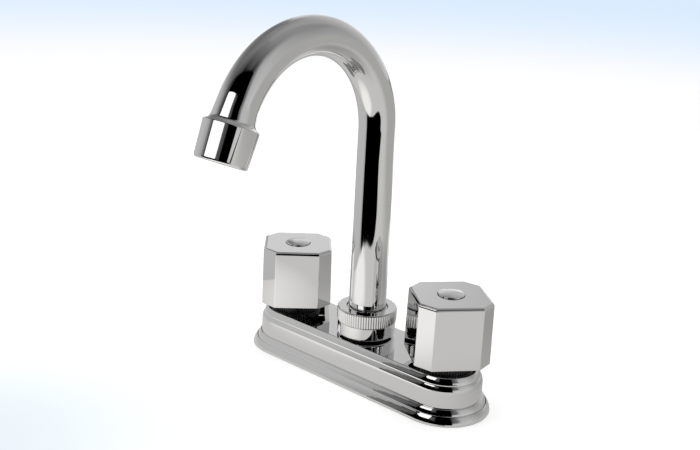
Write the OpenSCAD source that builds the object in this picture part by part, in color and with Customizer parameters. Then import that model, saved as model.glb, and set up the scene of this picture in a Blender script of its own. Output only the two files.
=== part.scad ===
// Centreset basin mixer tap: two screw-down valves, one swivelling gooseneck spout.
// +Z is up, +X runs to the cold (right-hand) knob, and the spout reaches along -Y.
// The origin is the middle of the foot, on the counter top.

/* [Base cover] */
// Distance between the two valve axes
valve_centres = 101.6; // [100:0.1:112]
// Half width of the foot flange, which is also the radius of its round ends
flange_r = 23.1; // [22.6:0.1:26]
// Height of the foot flange
flange_h = 3.5; // [3:0.1:4.5]
// Radius of the rounded bead above the flange
bead_r = 20.9; // [20:0.1:22]
// Height of the top of the bead
bead_z = 7.1; // [6.4:0.1:9]
// Half width of the upright side
body_r = 18.6; // [18.2:0.1:19.4]
// Height of the ledge between the upright side and the rim
ledge_z = 18.2; // [16.5:0.1:19]
// Half width of the rim round the flat top
rim_r = 17.3; // [16.9:0.1:17.9]
// Height of the flat top above the counter
cover_h = 21.6; // [20.6:0.1:25]
// Rounding of the flange's upper edge
flange_round = 1.2; // [0.6:0.1:2]
// Rounding of the bead
bead_round = 2.2; // [1:0.1:2.8]
// Rounding of the shoulder under the ledge
shoulder_round = 1.6; // [0.8:0.1:2.4]
// Rounding of the rim
rim_round = 1.8; // [1:0.1:2.4]
// Wall of the cover
cover_wall = 1.8; // [1.2:0.1:2.2]
// Thickness of the cover's flat top
cover_top = 2.0; // [1.4:0.1:2.6]

/* [Deck fixing] */
// Thickness of the rubber deck gasket
gasket_t = 2.0; // [1:0.1:2.6]
// Major radius of each shank's upper thread, for its lock nut
shank_r = 11.0; // [10.8:0.05:11.2]
// Major radius of each shank's free end, for the supply nut
shank_end_r = 10.4; // [10.2:0.05:10.5]
// Length of each shank below the counter top
shank_len = 45; // [40:1:60]
// Radius of the waterway in each shank
inlet_r = 6.5; // [5.8:0.1:7]
// Thickness of the counter that the nuts are set for
counter_t = 20; // [10:1:24]
// Radius of the shank washers
washer_r = 17; // [16.5:0.5:20]
// Thickness of the shank washers
washer_t = 2; // [1:0.5:3]
// Width across the flats of the lock nuts on the shanks
shank_nut_af = 28; // [27:0.5:32]
// Height of the lock nuts on the shanks
shank_nut_h = 8; // [6:0.5:10]

/* [Valve bodies] */
// Radius of the valve barrel
barrel_r = 13; // [12.6:0.1:14]
// Radius of the foot of each valve and of the spout hub
foot_r = 15.2; // [14.4:0.1:15.6]
// Height of that foot
foot_h = 2.6; // [2:0.1:3]
// Radius of the threaded neck above the cover
neck_r = 10.6; // [10.4:0.1:11]
// Radius of the valve chamber
chamber_r = 9.05; // [8.8:0.05:9.2]
// Height of the chamber floor
floor_z = 3.2; // [2.8:0.1:3.6]
// Outer radius of the cross tubes
cross_r = 4.6; // [4:0.1:5]
// Wall of the cross tubes
cross_wall = 0.8; // [0.6:0.1:1.2]
// Height of the cross tubes' axis
cross_z = 9.9; // [9.4:0.1:10.6]
// Depth that a cross tube enters its sockets
socket_depth = 2.4; // [1.5:0.1:2.6]

/* [Valve headwork] */
// Radius of the water bore through the seat
seat_bore_r = 4.2; // [3.6:0.1:4.6]
// Outer radius of the raised seat lip
seat_lip_r = 5.4; // [5.2:0.1:6]
// Radius of the rubber seat washer
seat_washer_r = 6.4; // [6.1:0.1:6.8]
// Thickness of the rubber seat washer
seat_washer_t = 2.6; // [2:0.1:3.2]
// Radius of the threaded part of the spindle
screw_r = 4.0; // [3.6:0.05:4.2]
// Radius of the smooth part of the spindle
journal_r = 4.5; // [4.35:0.05:4.8]
// Radius of the plunger that carries the washer
plunger_r = 6.0; // [5.6:0.1:6.3]
// Full lift of the plunger
lift = 3.5; // [2:0.1:4]
// Width across the flats of the bonnet hexagon
bonnet_af = 17; // [16:0.5:20]
// Height of the bonnet hexagon
bonnet_hex_h = 5; // [4:0.5:6]
// Radius of the serrated lock rings under the knobs
lock_ring_r = 13.4; // [12.8:0.1:14.6]
// Height of the serrated lock rings
lock_ring_h = 4.6; // [4:0.1:7]
// Pitch of the lock rings' serrations
serration_pitch = 1.3; // [1:0.1:2]

/* [Knobs] */
// Width across the flats at the foot of a knob
knob_w = 36.8; // [34:0.1:40]
// How much narrower a knob is at its top
knob_taper = 0.8; // [0.2:0.1:3]
// Leg of the chamfer on each corner of a knob
knob_corner = 6.8; // [5:0.1:8]
// Height of a knob
knob_h = 31.0; // [30:0.1:36]
// Bevel round the top of a knob
knob_bevel = 0.7; // [0.3:0.1:1.2]
// Wall of a knob
knob_wall = 2.0; // [1.4:0.1:2.6]
// Gap between a lock ring and the knob above it
knob_gap = 0.5; // [0.4:0.1:1.5]
// Radius of the index button
button_r = 6.4; // [5.8:0.1:7]
// Angle of the hot knob when it is shut
hot_angle = 44; // [0:1:89]
// Angle of the cold knob when it is shut
cold_angle = 50; // [0:1:89]

/* [Spout] */
// Outer radius of the spout tube in its bend
tube_r = 8.9; // [8.7:0.05:9.2]
// Outer radius of the tube's two ends, which the bending has not drawn thin
tube_end_r = 9.6; // [9.3:0.05:9.7]
// Wall of the spout tube
tube_wall = 1.0; // [0.8:0.1:1.4]
// Height where the riser starts to bend
riser_top = 127.8; // [100:0.1:180]
// Radius of the bend's centre line
bend_r = 47.2; // [40:0.1:60]
// Angle of the bend
bend_angle = 158.3; // [140:0.1:178]
// Straight length between the bend and the aerator
outlet_run = 4.6; // [3:0.1:12]
// Wall of the collar round the foot of the tube
collar_wall = 0.6; // [0.5:0.05:0.8]
// Depth of the collar's rim below the top of the nut
collar_drop = 0.8; // [0.4:0.1:1.5]

/* [Spout nut and hub] */
// Radius over the flutes of the spout nut
nut_r = 15.3; // [14.6:0.1:16]
// Height of the spout nut
nut_h = 14.1; // [12:0.1:16]
// Height of the fluted part of the nut
flute_h = 7.3; // [5:0.1:8]
// Gap between the cover and the nut
nut_gap = 1.0; // [0.5:0.1:4]
// Number of flutes
flutes = 72; // [48:1:90]
// Radius of the threaded top of the hub
hub_r = 11.8; // [11.6:0.05:12]
// Radius of the spout's socket in the hub
socket_r = 8.75; // [8.5:0.05:8.9]

/* [Aerator] */
// Outer radius of the aerator housing at its top
aerator_r = 12.0; // [11.6:0.1:13]
// Outer radius of the aerator housing at its mouth
aerator_foot_r = 11.4; // [11:0.1:12]
// Length of the aerator housing
aerator_len = 16.4; // [15:0.1:20]
// Depth that the spout tube enters the housing
aerator_grip = 7; // [5:0.1:8]
// Opening of the housing's lip
aerator_mouth_r = 8.1; // [7:0.1:8.4]
// Spacing of the wires in the screen
mesh_pitch = 1.5; // [1.3:0.1:2]
// Width of a wire in the screen
mesh_wire = 0.4; // [0.3:0.05:0.6]

/* [Clearances] */
// Radial gap of a running fit
run_fit = 0.08; // [0.04:0.01:0.1]
// Radial gap of a fixed thread or a brazed joint
fixed_fit = 0.05; // [0.03:0.01:0.08]
// End gap between faces that turn on each other
end_gap = 0.06; // [0.04:0.01:0.1]
// Gap round pieces that pass through a loose hole
loose = 0.3; // [0.2:0.05:0.4]

/* [Hidden] */
$fn = 96;
eps = 0.01;

CHROME = [0.84, 0.85, 0.87];
BRASS = [0.78, 0.62, 0.33];
COPPER = [0.78, 0.47, 0.33];
RUBBER = [0.09, 0.09, 0.10];
BLACK_PLASTIC = [0.13, 0.13, 0.14];
WHITE_PLASTIC = [0.90, 0.90, 0.87];
STEEL = [0.66, 0.67, 0.69];

half = valve_centres / 2;

// Broken edges, chamfers and lead-ins, and how far joined lumps run into each other
edge = 0.3;
chamfer = 0.5;
lead_in = 0.8;
bury = 0.5;

// Levels of the valve stack, from the counter up
shoulder_z = cover_h - cover_top;
neck_top = cover_h + lock_ring_h;
knob_z = neck_top + knob_gap;
knob_top = knob_z + knob_h;
port_r = cross_r - cross_wall;
shank_nut_top = -counter_t - washer_t;
shank_nut_foot = shank_nut_top - shank_nut_h;
shank_end_z = shank_nut_foot - 1.0;
nut_bevel = 1.8;
nut_bevel_run = 3.0;

// Seat: a brass hat screwed into the inlet waterway
seat_flange_r = chamber_r - fixed_fit;
seat_flange_t = 1.1;
seat_spigot = 5.0;
seat_z = floor_z + 2.0;

// Jumper: rubber washer, its screw and the plunger, all at rest on the seat
holder_t = 1.9;
holder_r = 7.4;
holder_rim = 1.0;
washer_screw_r = 1.6;
washer_head_r = 3.1;
washer_head_t = 1.3;
slot_w = 0.8;
slot_depth = 0.5;
holder_z = seat_z + seat_washer_t;
plunger_floor = holder_z + holder_t;
bonnet_foot = plunger_floor + lift + 0.6;
key_w = 2.4;
key_r = 7.5;
key_len = 3.6;
screw_foot = plunger_floor + lift + 0.3;
plunger_top = bonnet_foot + key_len + 0.6;

// Spindle: lead screw, thrust collar, journal with two ring grooves, splined top
thrust_z = plunger_top + lift + 0.3;
thrust_t = 1.5;
thrust_r = plunger_r - 0.3;
guide_top = thrust_z + thrust_t + end_gap;
bonnet_gasket_t = 0.8;
bonnet_gasket_r = neck_r - 0.6;
bonnet_bevel = 1.2;
bonnet_flange_t = 1.5;
bonnet_hex_z = neck_top + bonnet_gasket_t + bonnet_flange_t;
bonnet_top = bonnet_hex_z + bonnet_hex_h + 1.0;
bonnet_collar_r = 7.0;
clip_t = 0.7;
clip_r = 6.2;
clip_groove_r = journal_r - 0.7;
clip_mouth = 2.4;
clip_z = bonnet_top + end_gap;
spline_z = clip_z + clip_t + 1.2;
spline_r = 4.0;
spline_depth = 0.35;
spline_teeth = 20;
spline_len = 9.5;
spindle_top = spline_z + spline_len;
ring_groove_r = journal_r - 1.5;
ring_groove_w = 1.8;
ring_land = 1.7;
ring_pitch = 4.0;
spindle_ring_z = [for (i = [1, 0]) bonnet_top - ring_land - ring_groove_w / 2 - i * ring_pitch];

// Knob: boss on the splines, screw seat, index button
boss_r = 7.0;
boss_foot = spline_z + 0.5;
knob_web_z = spindle_top + 0.3;
knob_screw_r = 1.9;
knob_screw_head_r = 3.6;
knob_screw_head_t = 2.2;
knob_screw_len = 9.0;
screw_seat_z = knob_web_z + 2.4;
button_t = 2.0;
button_dome = 0.9;
button_gap = 0.3;
button_seat_z = knob_top - button_t;
button_leg_r = 4.4;
button_leg_wall = 0.7;
button_split = 1.2;
well_r = button_leg_r + 0.15;
driver_w = 0.9;
driver_len = 4.0;
driver_depth = 1.1;
rib_t = 1.4;
rib_z = boss_foot + 2.0;
roof_z = button_seat_z - 1.2;

// Spout nut, hub and the spout's collar
nut_z = cover_h + nut_gap;
nut_top = nut_z + nut_h;
nut_lip = 1.7;
nut_lip_z = nut_top - nut_lip;
collar_r = tube_end_r + fixed_fit + collar_wall;
lip_gap = 0.4;
flute_depth = 0.35;
band_r = nut_r - 0.4;
band_bevel = 1.0;
friction_t = 1.3;
flange_top = nut_lip_z - friction_t - 2 * end_gap;
collar_flange_t = 2.1;
collar_flange_r = hub_r - 0.5;
hub_top = flange_top - collar_flange_t - end_gap;
plug_foot = cross_z + cross_r + 2.2;
hub_chamber_r = socket_r - 0.8;
hub_floor = cross_z - port_r - 0.8;
tube_foot = flange_top - 1.4;
collar_top = nut_top - collar_drop;
plug_bore_r = 6.0;
plug_groove_r = socket_r - 1.55;
plug_groove_w = 2.2;
plug_land = 2.1;
plug_pitch = 5.2;
spout_ring_z = [for (i = [0, 1]) plug_foot + plug_land + plug_groove_w / 2 + i * plug_pitch];

// Aerator, along the outlet from the top of its housing
aerator_bore_r = tube_end_r + 2 * fixed_fit;
insert_r = aerator_bore_r - fixed_fit;
aerator_lip = 1.0;
aerator_round = 1.0;
aerator_washer_t = 1.5;
insert_z = aerator_grip + aerator_washer_t + fixed_fit;
screen_t = 0.5;
screen_z = aerator_len - aerator_lip - screen_t;
insert_wall = 1.2;
insert_plate_t = 1.2;
drill_r = 0.6;
drill_ring_r = 5.0;
window_z = insert_z + 2.4;
window_w = 2.0;
window_h = 1.6;
insert_rib_t = 0.8;
insert_rib_h = 1.3;
washer_bore_r = tube_end_r - 3.0;

// A solid of revolution from radius and height pairs
module turned(points) {
    rotate_extrude() polygon(points);
}

// A plain ring between two heights
module ring(outer, inner, z0, z1) {
    translate([0, 0, z0]) difference() {
        cylinder(r = outer, h = z1 - z0);
        translate([0, 0, -eps]) cylinder(r = inner, h = z1 - z0 + 2 * eps);
    }
}

// A round wire ring, such as a rubber O-ring
module wire_ring(centre_r, wire_r, z) {
    translate([0, 0, z]) rotate_extrude() translate([centre_r, 0]) circle(wire_r);
}

// Outline with evenly spaced teeth: each tooth is a flat land with sloping flanks
function toothed(tip_r, depth, teeth) = [
    for (i = [0 : teeth - 1], k = [[0.10, 0], [0.24, 1], [0.76, 1], [0.90, 0]])
        let (a = 360 * (i + k[0]) / teeth, r = tip_r - depth * (1 - k[1]))
            [r * cos(a), r * sin(a)]
];

// Square outline with chamfered corners
function octagon(w, c) = let (h = w / 2) [
    [h, c - h], [h, h - c], [h - c, h], [c - h, h],
    [-h, h - c], [-h, c - h], [c - h, -h], [h - c, -h]
];

function knob_angle(s) = s < 0 ? hot_angle : cold_angle;

// Carries its children to the hot side, -1, or the cold side, 1
module at_valve(s) {
    translate([s * half, 0, 0]) children();
}

// One step of the cover's half profile: a slab with a rounded upper corner
module step_profile(r, top, round) {
    square([r - round, top]);
    square([r, top - round]);
    translate([r - round, top - round]) circle(round);
}

module cover_profile() {
    intersection() {
        union() {
            step_profile(flange_r, flange_h, flange_round);
            step_profile(bead_r, bead_z, bead_round);
            step_profile(body_r, ledge_z, shoulder_round);
            step_profile(rim_r, cover_h, rim_round);
        }
        square([flange_r, cover_h]);
    }
}

// The hollow steps in with the outside, so the wall stays even
module cover_hollow_profile() {
    square([flange_r - cover_wall, flange_h - cover_wall / 2]);
    square([bead_r - cover_wall - bead_round / 2, bead_z - cover_wall / 2]);
    square([body_r - cover_wall, ledge_z - cover_wall]);
    square([rim_r - cover_wall, shoulder_z]);
}

// Carries a half profile round the stadium: half turns at the ends, straight between
module stadium_sweep() {
    for (s = [-1, 1]) at_valve(s) rotate([0, 0, -90 * s]) rotate_extrude(angle = 180) children();
    translate([-half, 0, 0]) rotate([90, 0, 90]) linear_extrude(valve_centres) {
        children();
        mirror([1, 0]) children();
    }
}

module base_cover() {
    color(CHROME) difference() {
        stadium_sweep() cover_profile();
        stadium_sweep() cover_hollow_profile();
        for (s = [-1, 1]) at_valve(s) translate([0, 0, floor_z]) cylinder(r = neck_r + loose, h = cover_h);
        translate([0, 0, floor_z]) cylinder(r = hub_r + loose, h = cover_h);
    }
}

// Rubber plate in the foot of the cover, with a hole for each shank
module deck_gasket() {
    plate_r = flange_r - cover_wall - loose;
    color(RUBBER) difference() {
        stadium_sweep() square([plate_r, gasket_t]);
        for (s = [-1, 1]) at_valve(s) translate([0, 0, -1]) cylinder(r = shank_r + loose, h = gasket_t + 2);
    }
}

module shank_washers() {
    color(RUBBER) for (s = [-1, 1]) at_valve(s)
        ring(washer_r, shank_r + loose, shank_nut_top, -counter_t);
}

module shank_nuts() {
    foot = shank_nut_foot;
    flat_r = shank_nut_af / 2;
    wide = flat_r + nut_bevel_run;
    color(BRASS) for (s = [-1, 1]) at_valve(s) difference() {
        intersection() {
            translate([0, 0, foot]) cylinder(r = flat_r / cos(30), h = shank_nut_h, $fn = 6);
            turned([[0, foot], [flat_r, foot], [wide, foot + nut_bevel], [wide, shank_nut_top],
                [0, shank_nut_top]]);
        }
        translate([0, 0, foot - 1]) cylinder(r = shank_r + fixed_fit, h = shank_nut_h + 2);
    }
}

// Cast brass valve body: stepped threaded shank, foot, barrel with the chamber, threaded neck
module valve_body(s) {
    color(BRASS) at_valve(s) difference() {
        turned([[0, -shank_len], [shank_end_r - lead_in, -shank_len],
            [shank_end_r, lead_in - shank_len], [shank_end_r, shank_end_z - shank_r + shank_end_r],
            [shank_r, shank_end_z], [shank_r, gasket_t], [foot_r, gasket_t],
            [foot_r, gasket_t + foot_h], [barrel_r, gasket_t + foot_h + lead_in],
            [barrel_r, shoulder_z], [neck_r, shoulder_z], [neck_r, neck_top - edge],
            [neck_r - edge, neck_top], [0, neck_top]]);
        translate([0, 0, -shank_len - 1]) cylinder(r = inlet_r, h = shank_len + floor_z + 2);
        translate([0, 0, floor_z]) cylinder(r = chamber_r, h = neck_top);
        cross_port(-s);
    }
}

// Side port and the socket round it for a cross tube, along X
module cross_port(direction) {
    translate([0, 0, cross_z]) rotate([0, 90 * direction, 0]) {
        cylinder(r = port_r, h = barrel_r + 1);
        translate([0, 0, barrel_r - socket_depth]) cylinder(r = cross_r + fixed_fit, h = socket_depth + 2);
    }
}

// Copper tube that carries one side's water to the hub
module cross_tube(s) {
    near = barrel_r - socket_depth + fixed_fit;
    color(COPPER) translate([s * near, 0, cross_z]) rotate([0, 90 * s, 0])
        ring(cross_r, port_r, 0, half - 2 * near);
}

// Brass hub where the two streams mix and the spout turns
module spout_hub() {
    color(BRASS) difference() {
        turned([[0, gasket_t], [foot_r, gasket_t], [foot_r, gasket_t + foot_h],
            [barrel_r, gasket_t + foot_h + lead_in], [barrel_r, shoulder_z], [hub_r, shoulder_z],
            [hub_r, hub_top - edge], [hub_r - edge, hub_top], [0, hub_top]]);
        turned([[0, hub_floor], [hub_chamber_r, hub_floor],
            [hub_chamber_r, plug_foot - lip_gap - lead_in], [socket_r, plug_foot - lip_gap],
            [socket_r, hub_top + 1], [0, hub_top + 1]]);
        for (s = [-1, 1]) cross_port(s);
    }
}

// Removable seat: spigot in the waterway, flange on the chamber floor, raised lip on top
module seat(s) {
    spigot_r = inlet_r - fixed_fit;
    color(BRASS) at_valve(s) turned([
        [seat_bore_r, floor_z - seat_spigot], [spigot_r, floor_z - seat_spigot],
        [spigot_r, floor_z], [seat_flange_r, floor_z], [seat_flange_r, floor_z + seat_flange_t],
        [seat_lip_r, floor_z + seat_flange_t], [seat_lip_r - edge, seat_z], [seat_bore_r, seat_z]]);
}

module seat_washer(s) {
    color(RUBBER) at_valve(s) ring(seat_washer_r, washer_screw_r + fixed_fit, seat_z, holder_z);
}

module washer_screw(s) {
    foot = seat_z - washer_head_t;
    color(BRASS) at_valve(s) difference() {
        turned([[0, foot], [washer_head_r - chamfer, foot], [washer_head_r, foot + chamfer],
            [washer_head_r, seat_z], [washer_screw_r, seat_z], [washer_screw_r, plunger_floor - edge],
            [0, plunger_floor - edge]]);
        translate([-washer_head_r - 1, -slot_w / 2, foot - 1])
            cube([2 * washer_head_r + 2, slot_w, slot_depth + 1]);
    }
}

// Plunger: cups the washer, takes the lead screw, and two keys stop it turning
module plunger(s) {
    color(BRASS) at_valve(s) difference() {
        union() {
            translate([0, 0, holder_z - holder_rim]) cylinder(r = holder_r, h = holder_rim + holder_t);
            translate([0, 0, holder_z]) cylinder(r = plunger_r, h = plunger_top - holder_z);
            intersection() {
                translate([-key_r, -key_w / 2, plunger_top - key_len]) cube([2 * key_r, key_w, key_len]);
                translate([0, 0, holder_z]) cylinder(r = key_r, h = plunger_top);
            }
        }
        translate([0, 0, holder_z - 2 * holder_rim])
            cylinder(r = seat_washer_r + fixed_fit, h = 2 * holder_rim);
        translate([0, 0, holder_z - 1]) cylinder(r = washer_screw_r + fixed_fit, h = holder_t + 2);
        translate([0, 0, plunger_floor]) cylinder(r = screw_r + run_fit, h = plunger_top);
    }
}

// Spindle: lead screw, thrust collar, journal with two ring grooves and a clip groove, splines
module spindle(s) {
    groove_top = clip_z + clip_t + fixed_fit;
    color(BRASS) at_valve(s) difference() {
        union() {
            turned([[0, screw_foot], [screw_r - 0.4, screw_foot], [screw_r, screw_foot + 0.4],
                [screw_r, thrust_z], [thrust_r, thrust_z], [thrust_r, thrust_z + thrust_t],
                [journal_r, thrust_z + thrust_t],
                for (z = spindle_ring_z) each [[journal_r, z - ring_groove_w / 2],
                    [ring_groove_r, z - ring_groove_w / 2], [ring_groove_r, z + ring_groove_w / 2],
                    [journal_r, z + ring_groove_w / 2]],
                [journal_r, clip_z - fixed_fit], [clip_groove_r, clip_z - fixed_fit],
                [clip_groove_r, groove_top], [journal_r, groove_top],
                [journal_r, spline_z], [0, spline_z]]);
            translate([0, 0, spline_z]) rotate([0, 0, knob_angle(s)])
                linear_extrude(spline_len) polygon(toothed(spline_r, spline_depth, spline_teeth));
        }
        translate([0, 0, spindle_top - knob_screw_len]) cylinder(r = knob_screw_r + fixed_fit, h = knob_h);
    }
}

module spindle_rings(s) {
    wire_r = (journal_r + run_fit - ring_groove_r) / 2 - 0.04;
    color(RUBBER) at_valve(s) for (z = spindle_ring_z) wire_ring(ring_groove_r + wire_r + 0.02, wire_r, z);
}

// Open clip in the spindle's groove, which rides on top of the bonnet
module spindle_clip(s) {
    color(STEEL) at_valve(s) difference() {
        ring(clip_r, clip_groove_r + fixed_fit, clip_z, clip_z + clip_t);
        translate([0, -clip_mouth / 2, clip_z - 1]) cube([2 * clip_r, clip_mouth, clip_t + 2]);
    }
}

// Bonnet: screws into the neck, guides the plunger's keys, and holds the spindle
module bonnet(s) {
    thread_r = chamber_r - fixed_fit;
    flange_z = neck_top + bonnet_gasket_t;
    hex_top = bonnet_hex_z + bonnet_hex_h;
    color(BRASS) at_valve(s) difference() {
        union() {
            turned([[0, bonnet_foot], [thread_r, bonnet_foot], [thread_r, flange_z], [neck_r, flange_z],
                [neck_r, bonnet_hex_z], [bonnet_collar_r, bonnet_hex_z],
                [bonnet_collar_r, bonnet_top], [0, bonnet_top]]);
            intersection() {
                translate([0, 0, bonnet_hex_z])
                    cylinder(r = bonnet_af / 2 / cos(30), h = bonnet_hex_h, $fn = 6);
                turned([[0, bonnet_hex_z], [bonnet_af / 2 + 2, bonnet_hex_z],
                    [bonnet_af / 2 + 2, hex_top - bonnet_bevel], [bonnet_af / 2, hex_top],
                    [0, hex_top]]);
            }
        }
        translate([0, 0, bonnet_foot - 1])
            cylinder(r = plunger_r + run_fit, h = guide_top - bonnet_foot + 1);
        translate([0, 0, bonnet_foot]) cylinder(r = journal_r + run_fit, h = bonnet_top);
        intersection() {
            translate([-key_r - 1, -key_w / 2 - run_fit, bonnet_foot - 1])
                cube([2 * key_r + 2, key_w + 2 * run_fit, thrust_z - bonnet_foot + 1]);
            cylinder(r = key_r + run_fit, h = thrust_z);
        }
    }
}

module bonnet_gasket(s) {
    color(RUBBER) at_valve(s)
        ring(bonnet_gasket_r, chamber_r + fixed_fit, neck_top, neck_top + bonnet_gasket_t);
}

// Serrated ring that screws on the neck and clamps the cover
module lock_ring(s) {
    teeth = floor(2 * PI * lock_ring_r / serration_pitch);
    color(BLACK_PLASTIC) at_valve(s) difference() {
        intersection() {
            translate([0, 0, cover_h]) linear_extrude(lock_ring_h)
                polygon(toothed(lock_ring_r, 0.4, teeth));
            turned([[0, cover_h], [lock_ring_r - chamfer, cover_h], [lock_ring_r, cover_h + chamfer],
                [lock_ring_r, neck_top - chamfer], [lock_ring_r - chamfer, neck_top], [0, neck_top]]);
        }
        translate([0, 0, cover_h - 1]) cylinder(r = neck_r + fixed_fit, h = lock_ring_h + 2);
    }
}

// Octagonal knob: a tapered shell with a splined boss, four ribs and a bevelled top
module knob(s) {
    grow = 1 - knob_taper / knob_w;
    top_w = knob_w * grow;
    inner_w = top_w - 2 * knob_wall;
    color(CHROME) at_valve(s) rotate([0, 0, knob_angle(s)]) difference() {
        union() {
            difference() {
                union() {
                    translate([0, 0, knob_z]) linear_extrude(knob_h - knob_bevel, scale = grow)
                        polygon(octagon(knob_w, knob_corner));
                    translate([0, 0, knob_top - knob_bevel])
                        linear_extrude(knob_bevel, scale = 1 - 2 * knob_bevel / top_w)
                        polygon(octagon(top_w, knob_corner * grow));
                }
                translate([0, 0, knob_z - 1]) linear_extrude(roof_z - knob_z + 1)
                    polygon(octagon(inner_w, knob_corner - knob_wall / 2));
            }
            translate([0, 0, boss_foot]) cylinder(r = boss_r, h = roof_z - boss_foot + bury);
            for (a = [0, 90]) rotate([0, 0, a])
                translate([-inner_w / 2 - bury, -rib_t / 2, rib_z])
                cube([inner_w + 2 * bury, rib_t, roof_z - rib_z + bury]);
        }
        translate([0, 0, boss_foot - 1]) linear_extrude(knob_web_z - boss_foot + 1)
            polygon(toothed(spline_r + fixed_fit, spline_depth, spline_teeth));
        translate([0, 0, boss_foot]) cylinder(r = knob_screw_r + loose, h = knob_h);
        translate([0, 0, screw_seat_z]) cylinder(r = well_r, h = knob_h);
        translate([0, 0, button_seat_z]) cylinder(r = button_r + button_gap, h = knob_h);
    }
}

module knob_screw(s) {
    foot = screw_seat_z - knob_screw_len;
    top = screw_seat_z + knob_screw_head_t;
    color(STEEL) at_valve(s) difference() {
        turned([[0, foot], [knob_screw_r, foot], [knob_screw_r, screw_seat_z],
            [knob_screw_head_r, screw_seat_z], [knob_screw_head_r, top - lead_in],
            [knob_screw_head_r - lead_in, top], [0, top]]);
        for (a = [0, 90]) rotate([0, 0, a])
            translate([-driver_len / 2, -driver_w / 2, top - driver_depth])
            cube([driver_len, driver_w, 2 * driver_depth]);
    }
}

// Index button: a domed cap with a split leg that snaps into the screw well
module index_button(s) {
    dome_r = (button_r * button_r + button_dome * button_dome) / (2 * button_dome);
    edge_z = knob_top - edge;
    color(CHROME) at_valve(s) difference() {
        union() {
            translate([0, 0, button_seat_z]) cylinder(r = button_r, h = edge_z - button_seat_z);
            intersection() {
                translate([0, 0, edge_z + button_dome - dome_r]) sphere(dome_r);
                translate([0, 0, edge_z - bury]) cylinder(r = button_r, h = button_dome + 2 * bury);
            }
            ring(button_leg_r, button_leg_r - button_leg_wall, screw_seat_z + edge, button_seat_z + bury);
        }
        translate([-knob_w / 2, -button_split / 2, knob_z])
            cube([knob_w, button_split, button_seat_z - knob_z]);
    }
}

// Coupling nut: flutes above a smooth band, with a lip that keeps the spout down
module spout_nut() {
    flute_z = nut_top - flute_h;
    color(CHROME) difference() {
        union() {
            intersection() {
                translate([0, 0, flute_z]) linear_extrude(flute_h)
                    polygon(toothed(nut_r, flute_depth, flutes));
                turned([[0, flute_z], [nut_r - edge, flute_z], [nut_r, flute_z + edge],
                    [nut_r, nut_top - chamfer], [nut_r - chamfer, nut_top], [0, nut_top]]);
            }
            turned([[0, nut_z], [band_r - band_bevel, nut_z], [band_r, nut_z + band_bevel],
                [band_r, flute_z], [0, flute_z]]);
        }
        translate([0, 0, nut_z - 1]) cylinder(r = hub_r + fixed_fit, h = nut_lip_z - nut_z + 1);
        translate([0, 0, nut_z]) cylinder(r = collar_r + lip_gap, h = nut_h + 1);
    }
}

module spout_friction_ring() {
    foot = flange_top + end_gap;
    color(WHITE_PLASTIC) ring(hub_r - loose, collar_r + run_fit, foot, foot + friction_t);
}

// Collar brazed to the foot of the tube: a cup above, a flange, and a plug with ring grooves
module spout_collar() {
    cup_r = tube_end_r + fixed_fit;
    plug_r = socket_r - run_fit;
    foot = flange_top - collar_flange_t;
    color(CHROME) turned([
        [plug_bore_r, plug_foot], [plug_r - chamfer, plug_foot], [plug_r, plug_foot + chamfer],
        for (z = spout_ring_z) each [[plug_r, z - plug_groove_w / 2],
            [plug_groove_r, z - plug_groove_w / 2], [plug_groove_r, z + plug_groove_w / 2],
            [plug_r, z + plug_groove_w / 2]],
        [plug_r, foot], [collar_flange_r, foot], [collar_flange_r, flange_top],
        [collar_r, flange_top], [collar_r, collar_top - edge], [collar_r - edge, collar_top],
        [cup_r, collar_top], [cup_r, tube_foot], [plug_bore_r, tube_foot]]);
}

module spout_rings() {
    wire_r = (socket_r - plug_groove_r) / 2 - 0.06;
    color(RUBBER) for (z = spout_ring_z) wire_ring(plug_groove_r + wire_r + 0.03, wire_r, z);
}

// Carries its children to the top of the aerator, with +Z along the outlet
module at_outlet() {
    translate([0, -bend_r, riser_top]) rotate([90, 0, 90]) rotate([0, 0, bend_angle])
        translate([bend_r, 0, 0]) rotate([-90, 0, 0]) translate([0, 0, outlet_run]) children();
}

// The tube in its three lengths: riser, bend and outlet. Its two straight lengths widen to their
// ends. The outlet starts inside the bend, drawn down by a hair, so that the two walls join
// without a tangent seam.
module spout_tube() {
    drawn = 0.02;
    lap = 0.5;
    drawn_r = tube_r - drawn;
    drawn_bore = tube_r - tube_wall + drawn;
    end_bore = tube_end_r - tube_wall;
    color(CHROME) union() {
        turned([[end_bore, tube_foot], [tube_end_r, tube_foot], [tube_r, riser_top],
            [tube_r - tube_wall, riser_top]]);
        translate([0, -bend_r, riser_top]) rotate([90, 0, 90])
            rotate_extrude(angle = bend_angle) translate([bend_r, 0]) difference() {
                circle(tube_r);
                circle(tube_r - tube_wall);
            }
        at_outlet() turned([[drawn_bore, -outlet_run - lap], [drawn_r, -outlet_run - lap],
            [drawn_r, lap - outlet_run], [tube_end_r, 0], [tube_end_r, aerator_grip],
            [end_bore, aerator_grip], [end_bore, 0], [drawn_bore, lap - outlet_run]]);
    }
}

// Aerator housing: a slightly tapered ring screwed on the tube's end, with a lip that holds the inserts
module aerator_housing() {
    lip_z = aerator_len - aerator_lip;
    color(CHROME) at_outlet() difference() {
        rotate_extrude() {
            polygon([[0, aerator_round], [aerator_r, aerator_round],
                [aerator_foot_r, aerator_len - chamfer], [aerator_foot_r - chamfer, aerator_len],
                [0, aerator_len]]);
            square([aerator_r - aerator_round, aerator_round + bury]);
            translate([aerator_r - aerator_round, aerator_round]) circle(aerator_round);
        }
        translate([0, 0, -1]) cylinder(r = aerator_bore_r, h = lip_z + 1);
        cylinder(r = aerator_mouth_r, h = aerator_len + 1);
    }
}

module aerator_washer() {
    foot = aerator_grip + fixed_fit / 2;
    color(RUBBER) at_outlet() ring(insert_r, washer_bore_r, foot, foot + aerator_washer_t);
}

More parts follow.
